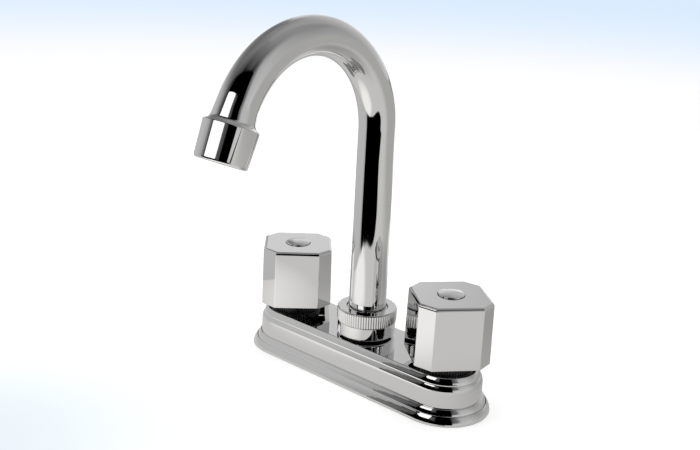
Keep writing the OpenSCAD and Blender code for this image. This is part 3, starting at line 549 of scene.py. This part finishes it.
# Buffed plate: broad soft patches where the buff and a dry cloth left it a hair duller, and a
# very shallow ripple from the casting under the plate.
plate, plate_in, plate_out = shader_group(
    "plate_surface", {"Vector": "Vector"}, {"Color": "Color", "Roughness": "Float", "Height": "Float"})
patches = noise(plate, plate_in["Vector"], PATCH_SCALE, 3.0)
wipes = noise(plate, stretched(plate, plate_in["Vector"], (1.0, 1.0, 0.15)), WIPE_SCALE, 4.0, 0.65)
duller = product(plate, smooth_step(plate, patches, 0.45, 0.75), wipes, HAZE)
plate.links.new(colour_mix(plate, patches, *PLATE_TONES), plate_out.inputs["Color"])
plate.links.new(sums(plate, "ADD", duller, GLOSS), plate_out.inputs["Roughness"])
plate.links.new(noise(plate, plate_in["Vector"], RIPPLE_SCALE, 1.0), plate_out.inputs["Height"])


def new_material(name, **constants):
    """A material with a Principled shader whose own sockets hold the constants, as (material,
    tree, shader, Object coordinates)."""
    material = bpy.data.materials.new(name)
    material.use_nodes = True
    tree = material.node_tree
    shader = tree.nodes["Principled BSDF"]
    for socket, value in constants.items():
        shader.inputs[socket.replace("_", " ")].default_value = value
    return material, tree, shader, place(tree, "ShaderNodeTexCoord").outputs["Object"]


def surface(tree, shader, colour, rough, height, depth):
    """Links a colour, a roughness and a relief of that depth to a Principled shader."""
    relief = place(tree, "ShaderNodeBump", {"Height": height, "Strength": 1.0, "Distance": depth})
    for value, socket in ((colour, "Base Color"), (rough, "Roughness"), (relief.outputs[0], "Normal")):
        tree.links.new(value, shader.inputs[socket])


def chrome(name, ripple):
    """Polished chrome plate, with a ripple of that depth in mm."""
    material, tree, shader, spot = new_material(name, Metallic=1.0)
    plated = place(tree, "ShaderNodeGroup", {"Vector": spot}, node_tree=plate).outputs
    surface(tree, shader, *plated, ripple * mm)
    return material


def fit(piece, material, body, slot, *nodes):
    """Gives a finished piece its material and its body, in place of CAD nodes. The slot is not used."""
    piece.data.materials.clear()
    piece.data.materials.append(material)
    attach(piece, body)
    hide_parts(*nodes)


cast_chrome = chrome("chrome_on_casting", ripple=0.010)
fit(base_cover, cast_chrome, "base", "chrome", "base_cover")

# -------- knobs
# Each is a tapered octagonal cap, cast, buffed and plated, with softly rounded top edges. A
# boss inside sits on the spindle's splines, four ribs stiffen it, and a well holds the screw.
KNOB_W, KNOB_CORNER, KNOB_TAPER = 36.8 * mm, 6.8 * mm, 0.8 * mm
KNOB_WALL = 2.0 * mm
TOP_ROUND, FOOT_ROUND, UPRIGHT_ROUND = 1.5 * mm, 0.3 * mm, 0.45 * mm
SIDE_PARTS, LONG_SIDE, OUTLINE_HOLD = 7, 2 * mm, 0.12 * mm
RECESS_R, RECESS_DEPTH, RECESS_EDGE, WELL_R = 6.7 * mm, 2.0 * mm, 0.2 * mm, 4.55 * mm
ROOF_T = 1.2 * mm
BOSS_R, SPLINE_HOLE_R, SCREW_HOLE_R = 7.0 * mm, 4.05 * mm, 2.2 * mm
SCREW_HEAD_T, WEB_T, BOSS_LIFT = 2.2 * mm, 2.4 * mm, 10.2 * mm
RIB_T, RIB_FROM, RIB_ABOVE_BOSS = 1.4 * mm, 4.85 * mm, 2.0 * mm
RIB_INTO_WALL, RIB_INTO_ROOF = 0.5 * mm, 0.4 * mm
KNOB_ANGLES = {"hot": 44.0, "cold": 50.0}
KNOB_SIDES = {"hot": -1, "cold": 1}


def knob_outline(flat, chamfer):
    """A square outline with chamfered corners: flat is the distance of the sides from the
    middle, chamfer that of the corner faces. Each of the 8 edges is an arc of UPRIGHT_ROUND, and
    long sides are divided into SIDE_PARTS."""
    turn = np.radians(np.arange(8) * 45.0)
    distance = np.where(np.arange(8) % 2 == 0, flat, chamfer)
    points = []
    for k in range(8):
        a, b = turn[k], turn[(k + 1) % 8]
        p, q = distance[k] - UPRIGHT_ROUND, distance[(k + 1) % 8] - UPRIGHT_ROUND
        # the arc's centre is where the two faces, moved in by the rounding, cross
        x = (p * math.sin(b) - q * math.sin(a)) / math.sin(b - a)
        y = (q * math.cos(a) - p * math.cos(b)) / math.sin(b - a)
        points.append(arc(x, y, UPRIGHT_ROUND, k * 45, k * 45 + 45, 5))
    outline = held(np.vstack(points), gap=OUTLINE_HOLD)
    ahead = np.roll(outline, -1, axis=0)
    long = np.linalg.norm(ahead - outline, axis=1) > LONG_SIDE
    share = np.arange(SIDE_PARTS) / SIDE_PARTS
    filled = outline[:, None] + (ahead - outline)[:, None] * share[None, :, None]
    keep = (np.arange(SIDE_PARTS) == 0)[None, :] | long[:, None]
    return filled[keep]


def knob_grid(low, high, screw_z):
    """Rows from the foot's inner edge out, up the tapered side, over the rounded top and in to
    the recess, down the screw well, and back under the roof, the boss and the inner wall."""
    def octagon(z, inset):
        """The knob's outline at that height, moved in by inset."""
        w = KNOB_W - KNOB_TAPER * (z - low) / (high - low)
        chamfer = (w - KNOB_CORNER * w / KNOB_W) / math.sqrt(2)
        return level_at(knob_outline(w / 2 - inset, chamfer - inset), z)

    directions = octagon(low, 0.0)[:, :2]
    directions = directions / np.linalg.norm(directions, axis=1, keepdims=True)
    side = np.vstack([arc(-FOOT_ROUND, low + FOOT_ROUND, FOOT_ROUND, -90, 0),
                      arc(-TOP_ROUND, high - TOP_ROUND, TOP_ROUND, 0, 90, 9)])
    rows = [octagon(z, -x) for x, z in held(side, closed=False)]
    rows.append(octagon(high, TOP_ROUND + HOLD))
    seat_z = high - RECESS_DEPTH
    roof_z, boss_z = seat_z - ROOF_T, low + BOSS_LIFT
    inner = (KNOB_W - KNOB_TAPER) / 2 - KNOB_WALL
    well = np.vstack([
        [[RECESS_R + 3 * RECESS_EDGE, high]],
        arc(RECESS_R + RECESS_EDGE, high - RECESS_EDGE, RECESS_EDGE, 90, 180),
        [[RECESS_R, seat_z], [WELL_R, seat_z], [WELL_R, screw_z], [SCREW_HOLE_R, screw_z],
         [SCREW_HOLE_R, screw_z - WEB_T], [SPLINE_HOLE_R, screw_z - WEB_T],
         [SPLINE_HOLE_R, boss_z], [BOSS_R, boss_z], [BOSS_R, roof_z]]])
    rows += [level_at(directions * r, z) for r, z in held(well, closed=False)]
    inner_outline = knob_outline(inner, (2 * inner - KNOB_CORNER + KNOB_WALL / 2) / math.sqrt(2))
    rows += [level_at(inner_outline, z) for z in (roof_z, roof_z - HOLD, low + HOLD, low)]
    return np.stack(rows)


def slab(low, high):
    """The six faces of a block between two corners, as one closed grid of four rings."""
    (x0, y0, z0), (x1, y1, z1) = low, high
    ring = np.array([(x0, y0), (x1, y0), (x1, y1), (x0, y1)])
    middle = ring.mean(axis=0) + 0 * ring
    rows = [(middle, z0), (ring, z0), (ring, z1), (middle, z1)]
    return np.stack([level_at(xy, z) for xy, z in rows])


def turn_about(points, x, degrees):
    """Turns points about the vertical axis through (0, 0), then moves them to x."""
    c, s = math.cos(math.radians(degrees)), math.sin(math.radians(degrees))
    spun = points @ np.array([[c, s, 0], [-s, c, 0], [0, 0, 1]])
    return spun + np.array([x, 0, 0])


knob_chrome = chrome("chrome_on_knob", ripple=0.004)
for side, sign in KNOB_SIDES.items():
    low, high = (box_corner.z for box_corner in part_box(side + "_knob"))
    rib_end = (KNOB_W - KNOB_TAPER) / 2 - KNOB_WALL + RIB_INTO_WALL
    rib_low, rib_high = low + BOSS_LIFT + RIB_ABOVE_BOSS, high - RECESS_DEPTH - ROOF_T + RIB_INTO_ROOF
    ribs = [slab((start, -RIB_T / 2, rib_low), (end, RIB_T / 2, rib_high))
            for start, end in ((RIB_FROM, rib_end), (-rib_end, -RIB_FROM))]
    ribs += [rib[..., [1, 0, 2]] for rib in ribs]
    screw_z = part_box(side + "_knob_screw")[1].z - SCREW_HEAD_T
    grids = [(knob_grid(low, high, screw_z), True, True)] + [(rib, False, True) for rib in ribs]
    grids = [(turn_about(grid, sign * VALVE_X, KNOB_ANGLES[side]), *loops) for grid, *loops in grids]
    knob = from_grids(side + "_knob_cap", *grids)
    fit(knob, knob_chrome, side + "_handle", "chrome", side + "_knob")

# -------- index buttons
# A domed cap in the top of each knob, pressed and plated, with a rounded edge that stands a
# little above the knob. Its leg snaps into the screw's well, and a thin gap runs round it.
BUTTON_R, BUTTON_RISE, BUTTON_DOME, BUTTON_ROUND = 6.4 * mm, 1.4 * mm, 0.70 * mm, 0.50 * mm
BUTTON_LEG_R, BUTTON_LEG_WALL = 4.4 * mm, 0.7 * mm


def turned(profile, x=0.0, columns=128):
    """Profile points (r, z) carried round an upright axis at x: (x + r cos a, r sin a, z)."""
    a = np.linspace(0, 2 * np.pi, columns, endpoint=False)
    r, z = profile[:, :1], profile[:, 1:]
    return np.stack([x + r * np.cos(a), r * np.sin(a), z + 0 * a], axis=-1)


for side, sign in KNOB_SIDES.items():
    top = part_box(side + "_knob")[1].z
    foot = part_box(side + "_index_button")[0].z
    seat = top - RECESS_DEPTH
    crown = top + BUTTON_RISE
    flat_r = BUTTON_R - BUTTON_ROUND
    dome_r = (flat_r ** 2 + BUTTON_DOME ** 2) / (2 * BUTTON_DOME)
    sweep = math.degrees(math.asin(flat_r / dome_r))
    leg_in = BUTTON_LEG_R - BUTTON_LEG_WALL
    # the edge's arc starts 2 degrees on, so that no two points of the profile meet
    profile = held(np.vstack([
        arc(0, crown - dome_r, dome_r, 90, 90 - sweep, 16),
        arc(flat_r, crown - BUTTON_DOME - BUTTON_ROUND, BUTTON_ROUND, 88 - sweep, 0, 9),
        [[BUTTON_R, seat], [BUTTON_LEG_R, seat], [BUTTON_LEG_R, foot], [leg_in, foot],
         [leg_in, seat], [0, seat]]]), closed=False)
    button = from_grids(side + "_index_cap", (turned(profile, sign * VALVE_X, 96), False, True))
    fit(button, knob_chrome, side + "_handle", "chrome", side + "_index_button")

# -------- spout nut
# A turned and plated coupling nut: fine straight flutes on its upper part for the fingers, a
# smooth band below. It screws on the hub, and its lip keeps the spout from lifting out.
nut_low, nut_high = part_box("spout_nut")
NUT_R = nut_high.x
FLUTES, FLUTE_DEPTH, FLUTE_H = 72, 0.40 * mm, 7.3 * mm
BAND_R = NUT_R - 0.4 * mm
BAND_ROUND, BAND_EDGE = 1.0 * mm, 0.1 * mm
FLUTE_BEVEL, NUT_ROUND, NUT_ROUND_IN = 0.45 * mm, 0.5 * mm, 0.7 * mm
NUT_BORE_R, LIP_R, LIP_T, LIP_ROUND = 11.85 * mm, 10.65 * mm, 1.7 * mm, 0.25 * mm
FLUTE_MARGIN, RIDGE_POWER, POINTS_A_FLUTE = 0.3 * mm, 0.7, 8


def fluted_grid():
    """The nut's profile carried round. Between the chamfers of its upper part the radius falls
    by the flute depth times 1 - |sin| to RIDGE_POWER: rounded ridges with sharp valleys."""
    low, high = nut_low.z, nut_high.z
    flute_z = high - FLUTE_H
    profile = np.vstack([
        [[NUT_BORE_R, low]],
        arc(BAND_R - BAND_ROUND, low + BAND_ROUND, BAND_ROUND, -90, 0),
        arc(BAND_R - BAND_EDGE, flute_z - BAND_EDGE, BAND_EDGE, 0, 90, 2),
        [[NUT_R - FLUTE_BEVEL, flute_z], [NUT_R, flute_z + FLUTE_BEVEL], [NUT_R, high - NUT_ROUND_IN]],
        arc(NUT_R - NUT_ROUND_IN, high - NUT_ROUND, NUT_ROUND, 30, 90),
        arc(LIP_R + LIP_ROUND, high - LIP_ROUND, LIP_ROUND, 90, 180),
        [[LIP_R, high - LIP_T], [NUT_BORE_R, high - LIP_T]]])
    profile = held(profile)
    grid = turned(profile, columns=FLUTES * POINTS_A_FLUTE)
    z, r = profile[:, 1], profile[:, 0]
    cut = (z > flute_z + FLUTE_MARGIN) & (z < high - FLUTE_MARGIN) & (r > BAND_R - FLUTE_MARGIN)
    a = np.arange(FLUTES * POINTS_A_FLUTE) / POINTS_A_FLUTE * np.pi
    ridge = 1 - np.abs(np.sin(a)) ** RIDGE_POWER
    scale = 1 - (cut * FLUTE_DEPTH / r)[:, None] * ridge
    grid[..., :2] *= scale[..., None]
    return grid


spout_nut = from_grids("spout_nut_fluted", (fluted_grid(), True, True), crease=50.0)
turned_chrome = chrome("chrome_on_turning", ripple=0.002)
fit(spout_nut, turned_chrome, "base", "chrome", "spout_nut")

# -------- spout collar
# A brass sleeve brazed to the foot of the tube. Its thin cup ends inside the nut, a flange runs
# under the nut's lip, and a plug with two ring grooves turns in the hub's socket.
collar_low, collar_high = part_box("spout_collar")
COLLAR_R, CUP_R = 10.25 * mm, 9.65 * mm
PLUG_R, PLUG_BORE_R, PLUG_GROOVE_R = 8.67 * mm, 6.0 * mm, 7.2 * mm
PLUG_GROOVES, GROOVE_W = (3.2 * mm, 8.4 * mm), 2.2 * mm
PLUG_CHAMFER, CUP_ROUND = 0.5 * mm, 0.2 * mm
COLLAR_FLANGE_R = collar_high.x
FLANGE_LEVELS = (31.48 * mm, 33.58 * mm)
TUBE_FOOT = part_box("spout_tube")[0].z

grooves = [[(PLUG_R, z - GROOVE_W / 2), (PLUG_GROOVE_R, z - GROOVE_W / 2),
            (PLUG_GROOVE_R, z + GROOVE_W / 2), (PLUG_R, z + GROOVE_W / 2)]
           for z in (collar_low.z + lift for lift in PLUG_GROOVES)]
collar_profile = held(np.vstack([
    [(PLUG_BORE_R, collar_low.z), (PLUG_R - PLUG_CHAMFER, collar_low.z),
     (PLUG_R, collar_low.z + PLUG_CHAMFER)],
    *grooves,
    [(PLUG_R, FLANGE_LEVELS[0]), (COLLAR_FLANGE_R, FLANGE_LEVELS[0]),
     (COLLAR_FLANGE_R, FLANGE_LEVELS[1]), (COLLAR_R, FLANGE_LEVELS[1])],
    arc(COLLAR_R - CUP_ROUND, collar_high.z - CUP_ROUND, CUP_ROUND, 0, 90),
    [(CUP_R, collar_high.z), (CUP_R, TUBE_FOOT), (PLUG_BORE_R, TUBE_FOOT)]]))
collar = from_grids("spout_collar_sleeve", (turned(collar_profile), True, True))
fit(collar, turned_chrome, "spout", "chrome", "spout_collar")

# -------- spout tube
# Drawn brass tube, bent round a former into the gooseneck, polished and plated. The bending has
# drawn it thinner than at its ends: the foot brazed in the collar, and the aerator's end.
TUBE_R, TUBE_END_R, TUBE_WALL, TUBE_EDGE = 8.95 * mm, 9.6 * mm, 1.0 * mm, 0.2 * mm
THINNEST, FLARE_LEN = 0.22 * mm, 9 * mm
RISER_TOP, BEND_R, BEND_ANGLE = 127.8 * mm, 47.2 * mm, math.radians(158.3)
OUTLET_RUN, AERATOR_GRIP = 4.6 * mm, 7.0 * mm
RISER_STEPS, BEND_STEPS = 8, 112


def spout_line(s):
    """Centre line of the spout at distances s from the tube's foot, with its outward normal:
    straight up, round the bend about (0, -BEND_R, RISER_TOP), then straight on."""
    riser = RISER_TOP - TUBE_FOOT
    angle = np.clip((s - riser) / BEND_R, 0, BEND_ANGLE)
    before = np.clip(s, None, riser)
    after = np.clip(s - riser - BEND_R * BEND_ANGLE, 0, None)
    y = BEND_R * (np.cos(angle) - 1) - after * np.sin(angle)
    z = TUBE_FOOT + before + BEND_R * np.sin(angle) + after * np.cos(angle)
    return np.column_stack([0 * s, y, z]), np.column_stack([0 * s, np.cos(angle), np.sin(angle)])


def round_spout(profile, columns=128):
    """Carries profile points (s, r) round the spout's centre line: centre(s) + r (cos a X +
    sin a normal(s))."""
    centre, normal = spout_line(profile[:, 0])
    a = np.linspace(0, 2 * np.pi, columns, endpoint=False)[None, :, None]
    r = profile[:, 1][:, None, None]
    return centre[:, None] + r * (np.cos(a) * np.array([1.0, 0, 0]) + np.sin(a) * normal[:, None])


bend_start = RISER_TOP - TUBE_FOOT
bend_end = bend_start + BEND_R * BEND_ANGLE
tube_end = bend_end + OUTLET_RUN + AERATOR_GRIP


def tube_radius(s):
    """Outer radius at distances s from the foot: narrower up the riser, by the half wave of a sine
    narrower still round the bend, and wider again by a smooth step before the aerator."""
    riser = np.clip(s / bend_start, 0, 1)
    bend = np.clip((s - bend_start) / (bend_end - bend_start), 0, 1)
    flare = np.clip((s - bend_end - OUTLET_RUN) / FLARE_LEN + 1, 0, 1)
    return (TUBE_END_R - (TUBE_END_R - TUBE_R) * (riser - flare ** 2 * (3 - 2 * flare))
            - THINNEST * np.sin(np.pi * bend))


stations = np.concatenate([np.linspace(0, bend_start, RISER_STEPS + 1)[1:-1],
                           np.linspace(bend_start, tube_end - OUTLET_RUN, BEND_STEPS + 1)])
outer = np.column_stack([stations, tube_radius(stations)])
inner = outer - [0, TUBE_WALL]
tube_profile = np.vstack([
    arc(TUBE_EDGE, TUBE_END_R - TUBE_EDGE, TUBE_EDGE, 180, 90, 2), outer,
    arc(tube_end - TUBE_EDGE, TUBE_END_R - TUBE_EDGE, TUBE_EDGE, 90, 0, 2),
    [[tube_end, TUBE_END_R - TUBE_WALL]], inner[::-1], [[0, TUBE_END_R - TUBE_WALL]]])
tube_chrome = chrome("chrome_on_tube", ripple=0.003)
tube = from_grids("spout_gooseneck", (round_spout(tube_profile), True, True))
fit(tube, tube_chrome, "spout", "chrome", "spout_tube")

# -------- aerator housing
# A turned and plated ring screwed on the outlet, which narrows a little to its mouth. Its upper
# edge is rounded, and its lip below holds the washer, the insert and the screen.
AERATOR_R, AERATOR_FOOT_R, AERATOR_LEN = 12.0 * mm, 11.4 * mm, 16.4 * mm
AERATOR_BORE_R, MOUTH_R, LIP_DEPTH = 9.7 * mm, 8.1 * mm, 1.0 * mm
AERATOR_ROUND, MOUTH_ROUND, MOUTH_EDGE = 0.8 * mm, 1.2 * mm, 0.25 * mm
FILLET, FILLET_OVERLAP = 2.2 * mm, 0.06 * mm
start = bend_end + OUTLET_RUN
finish = start + AERATOR_LEN
housing_profile = held(np.vstack([
    [[start, AERATOR_BORE_R], [start - FILLET, AERATOR_BORE_R - FILLET_OVERLAP]],
    arc(start - FILLET, AERATOR_BORE_R + FILLET, FILLET, -90, -35),
    arc(start + AERATOR_ROUND, AERATOR_R - AERATOR_ROUND, AERATOR_ROUND, 180, 90),
    arc(finish - MOUTH_ROUND, AERATOR_FOOT_R - MOUTH_ROUND, MOUTH_ROUND, 90, 0),
    arc(finish - MOUTH_EDGE, MOUTH_R + MOUTH_EDGE, MOUTH_EDGE, 0, -90),
    [[finish - LIP_DEPTH, MOUTH_R], [finish - LIP_DEPTH, AERATOR_BORE_R]]]))
housing = from_grids("aerator_housing_ring", (round_spout(housing_profile), True, True))
fit(housing, turned_chrome, "spout", "chrome", "aerator_housing")

# -------- rubber seals
# The deck gasket and shank washers are punched from black sheet rubber. The O-rings, the seat
# washers and the gaskets are moulded, and have a faint grey bloom from the mould's talc.
DUST_SHARE, DUSTY_ROUGH = 14, 0.12


def carry(material, *nodes):
    """Gives CAD nodes a material in place of their plain one."""
    for name in nodes:
        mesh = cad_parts[name].data
        mesh.materials.clear()
        mesh.materials.append(material)


def grained(name, dark, pale, rough, grain, depth, **constants):
    """A material of two tones in soft patches, with a fine grain of that scale (a metre) and
    that depth in mm. The patches are DUST_SHARE times as wide as the grain, and DUSTY_ROUGH
    rougher, as where dust or talc stays."""
    material, tree, shader, spot = new_material(name, **constants)
    dust = smooth_step(tree, noise(tree, spot, grain / DUST_SHARE, 4.0, 0.6), 0.45, 0.75)
    dusty = sums(tree, "ADD", sums(tree, "MULTIPLY", dust, DUSTY_ROUGH), rough)
    surface(tree, shader, colour_mix(tree, dust, (*dark, 1.0), (*pale, 1.0)), dusty,
            noise(tree, spot, grain, 3.0, 0.6), depth * mm)
    return material


def both(*names):
    """The hot and the cold side's nodes of those names."""
    return [side + "_" + name for side in KNOB_SIDES for name in names]


sheet_rubber = grained("black_sheet_rubber", (0.022, 0.022, 0.023), (0.050, 0.050, 0.050),
                       rough=0.62, grain=1500.0, depth=0.05)
carry(sheet_rubber, "deck_gasket", "shank_washers")
moulded_rubber = grained("black_moulded_rubber", (0.016, 0.016, 0.017), (0.036, 0.036, 0.037),
                         rough=0.42, grain=2600.0, depth=0.02)
carry(moulded_rubber, "spout_rings", "aerator_washer",
      *both("seat_washer", "spindle_rings", "bonnet_gasket"))

# -------- valve bodies
# Brass castings: a sandy skin on the barrel, and bright turned metal where the neck, the chamber
# and the two diameters of the shank were machined. Copper tubes are brazed into their sides.
BRASS_BRIGHT, BRASS_STAINED = (0.83, 0.63, 0.31, 1.0), (0.66, 0.46, 0.22, 1.0)
CAST_DARK, CAST_PALE = (0.36, 0.25, 0.12, 1.0), (0.68, 0.52, 0.30, 1.0)
CAST_ROUGH, SAND_SCALE, SAND_DEPTH, SKIN_EDGE = 0.56, 1500.0, 0.11, 0.2 * mm
STAIN_SCALE = 120.0
# painted shade: the near-black colour given to the hub's neck where the nut shades it, and the width of
# its soft edges
PAINTED_SHADE, PAINTED_SHADE_EDGE = (0.02, 0.018, 0.015, 1.0), 0.4 * mm
lathe, lathe_in, lathe_out = shader_group(
    "lathe_marks", {"Vector": "Vector", "Axis": "Float", "Pitch": "Float"},
    {"Radius": "Float", "Value": "Float"})
along = xyz(lathe, lathe_in["Vector"])
# distance from an upright axis: the nearer valve's at +-Axis, or the hub's where Axis is 0
from_axis = sums(lathe, "SUBTRACT", sums(lathe, "ABSOLUTE", along["X"]), lathe_in["Axis"])
radius = sums(lathe, "SQRT", sums(lathe, "ADD", product(lathe, from_axis, from_axis),
                                  product(lathe, along["Y"], along["Y"])))
ring_spot = place(lathe, "ShaderNodeCombineXYZ",
                  {"X": sums(lathe, "DIVIDE", radius, lathe_in["Pitch"]),
                   "Z": sums(lathe, "DIVIDE", along["Z"], lathe_in["Pitch"])})
lathe.links.new(radius, lathe_out.inputs["Radius"])
lathe.links.new(noise(lathe, ring_spot.outputs[0], 1.0, 3.0, 0.7), lathe_out.inputs["Value"])


def turned_brass(name, axis, pitch=0.22, depth=0.012, cast=None, painted_shade_band=None):
    """Machined brass with lathe marks round the axis; all but the axis in mm. Where cast is
    given, as (radius, low z), the skin beyond that radius and above that height is as cast.
    The last argument, where given, is (low z, high z) between which painted shade darkens the
    brass to near black, where the nut shades it."""
    material, tree, shader, spot = new_material(name, Metallic=1.0)
    turning = place(tree, "ShaderNodeGroup", {"Vector": spot, "Axis": axis, "Pitch": pitch * mm},
                    node_tree=lathe).outputs
    stain = smooth_step(tree, noise(tree, spot, STAIN_SCALE, 4.0, 0.6), 0.42, 0.72)
    colour = colour_mix(tree, stain, BRASS_BRIGHT, BRASS_STAINED)
    rough = smooth_step(tree, turning["Value"], 0.3, 0.7, 0.20, 0.34)
    height = sums(tree, "MULTIPLY", turning["Value"], depth)
    z = xyz(tree, spot)["Z"]
    if cast:
        radius, low = cast[0] * mm, cast[1] * mm
        skin = product(tree, smooth_step(tree, turning["Radius"], radius, radius + SKIN_EDGE),
                       smooth_step(tree, z, low - SKIN_EDGE, low + SKIN_EDGE))
        sandy = noise(tree, spot, SAND_SCALE, 4.0, 0.7)
        colour = colour_mix(tree, skin, colour, colour_mix(tree, sandy, CAST_DARK, CAST_PALE))
        rough = mix(tree, skin, rough, CAST_ROUGH)
        height = mix(tree, skin, height, product(tree, sandy, SAND_DEPTH))
    # painted shade: the brass is darkened to near black between the two heights, where the nut shades it
    if painted_shade_band:
        low, high = painted_shade_band[0] * mm, painted_shade_band[1] * mm
        painted_shade_mask = product(tree, smooth_step(tree, z, low, low + PAINTED_SHADE_EDGE),
                       smooth_step(tree, z, high - PAINTED_SHADE_EDGE, high, 1.0, 0.0))
        colour = colour_mix(tree, painted_shade_mask, colour, PAINTED_SHADE)
    surface(tree, shader, colour, rough, height, mm)
    return material


body_brass = turned_brass("brass_casting", VALVE_X, cast=(12.0, 2.1))
carry(body_brass, *both("valve_body"))

# -------- shank nuts
# Two hexagon nuts, turned and threaded from drawn brass bar. Screwed up the shanks, they clamp the
# washers and the counter from below.
nut_brass = turned_brass("brass_nut_bar", VALVE_X, pitch=0.35, depth=0.02)
carry(nut_brass, "shank_nuts")

# -------- mixing hub
# The brass casting in the middle takes both streams. Its neck is turned for the nut's thread and
# its socket bored for the spout's plug. Painted shade blackens the neck under the nut's edge.
hub_brass = turned_brass("brass_hub", 0.0, cast=(12.0, 2.1), painted_shade_band=(19.0, 25.5))
carry(hub_brass, "spout_hub")

# -------- valve headwork
# Seats, washer screws, plungers, spindles and bonnets, all turned from brass bar. The seats and
# screws are screwed in, the plungers slide on keys, and the spindles turn in the bonnets.
head_brass = turned_brass("brass_headwork", VALVE_X, pitch=0.16, depth=0.010)
carry(head_brass, *both("seat", "washer_screw", "plunger", "spindle", "bonnet"))

# -------- cross tubes
# Drawn copper, brazed into the barrels: fine lines along the tube, and darker heat tints at
# both of its ends.
COPPER_BRIGHT, COPPER_HEATED = (0.82, 0.43, 0.30, 1.0), (0.36, 0.15, 0.11, 1.0)
HEAT_FROM, HEAT_TO = 3 * mm, 10 * mm
DRAWN_SCALE, DRAWN_DEPTH, TARNISH_SCALE = 2600.0, 0.015 * mm, 260.0
copper, tree, shader, spot = new_material("drawn_copper", Metallic=1.0)
drawn = noise(tree, stretched(tree, spot, (0.03, 1.0, 1.0)), DRAWN_SCALE, 3.0, 0.6)
from_hub = sums(tree, "ABSOLUTE", xyz(tree, spot)["X"])
from_middle = sums(tree, "ABSOLUTE", sums(tree, "SUBTRACT", from_hub, VALVE_X / 2))
heat = product(tree, smooth_step(tree, from_middle, HEAT_FROM, HEAT_TO),
               smooth_step(tree, noise(tree, spot, TARNISH_SCALE, 3.0), 0.3, 0.7, 0.6, 1.0))
surface(tree, shader, colour_mix(tree, heat, COPPER_BRIGHT, COPPER_HEATED),
        smooth_step(tree, drawn, 0.3, 0.7, 0.20, 0.36), drawn, DRAWN_DEPTH)
carry(copper, *both("cross_tube"))

# -------- lock rings
# Black moulded plastic rings with teeth for the fingers. Each screws on a valve's neck and clamps
# the cover, in the gap under the knob.
lock_plastic = grained("black_moulded_plastic", (0.012, 0.012, 0.013), (0.022, 0.022, 0.024),
                       rough=0.36, grain=3200.0, depth=0.012, IOR=1.53)
carry(lock_plastic, *both("lock_ring"))

# -------- friction ring and flow insert
# White acetal mouldings: the ring that keeps the spout from swinging by itself, and the insert
# that mixes air into the water.
acetal = grained("white_moulded_acetal", (0.80, 0.80, 0.765), (0.865, 0.865, 0.835),
                 rough=0.30, grain=2400.0, depth=0.012, Subsurface_Weight=0.15,
                 Subsurface_Radius=(0.002, 0.002, 0.0018), Subsurface_Scale=1.0, IOR=1.48)
carry(acetal, "spout_friction_ring", "aerator_insert")

# -------- clips, screws and screen
# Stainless steel: the spring clips on the spindles, the knobs' screws, and the round screen in
# the aerator's mouth, whose punched holes break up the stream.
STEEL_DARK, STEEL_PALE = (0.56, 0.565, 0.58, 1.0), (0.66, 0.665, 0.675, 1.0)
STREAK_SCALE, STREAK_DEPTH, TONE_SCALE = 2200.0, 0.006 * mm, 300.0
steel, tree, shader, spot = new_material("bright_steel", Metallic=1.0)
streaks = noise(tree, stretched(tree, spot, (0.05, 1.0, 0.3)), STREAK_SCALE, 3.0, 0.6)
surface(tree, shader, colour_mix(tree, noise(tree, spot, TONE_SCALE), STEEL_DARK, STEEL_PALE),
        smooth_step(tree, streaks, 0.3, 0.7, 0.16, 0.32), streaks, STREAK_DEPTH)
carry(steel, *both("spindle_clip", "knob_screw"), "aerator_screen")
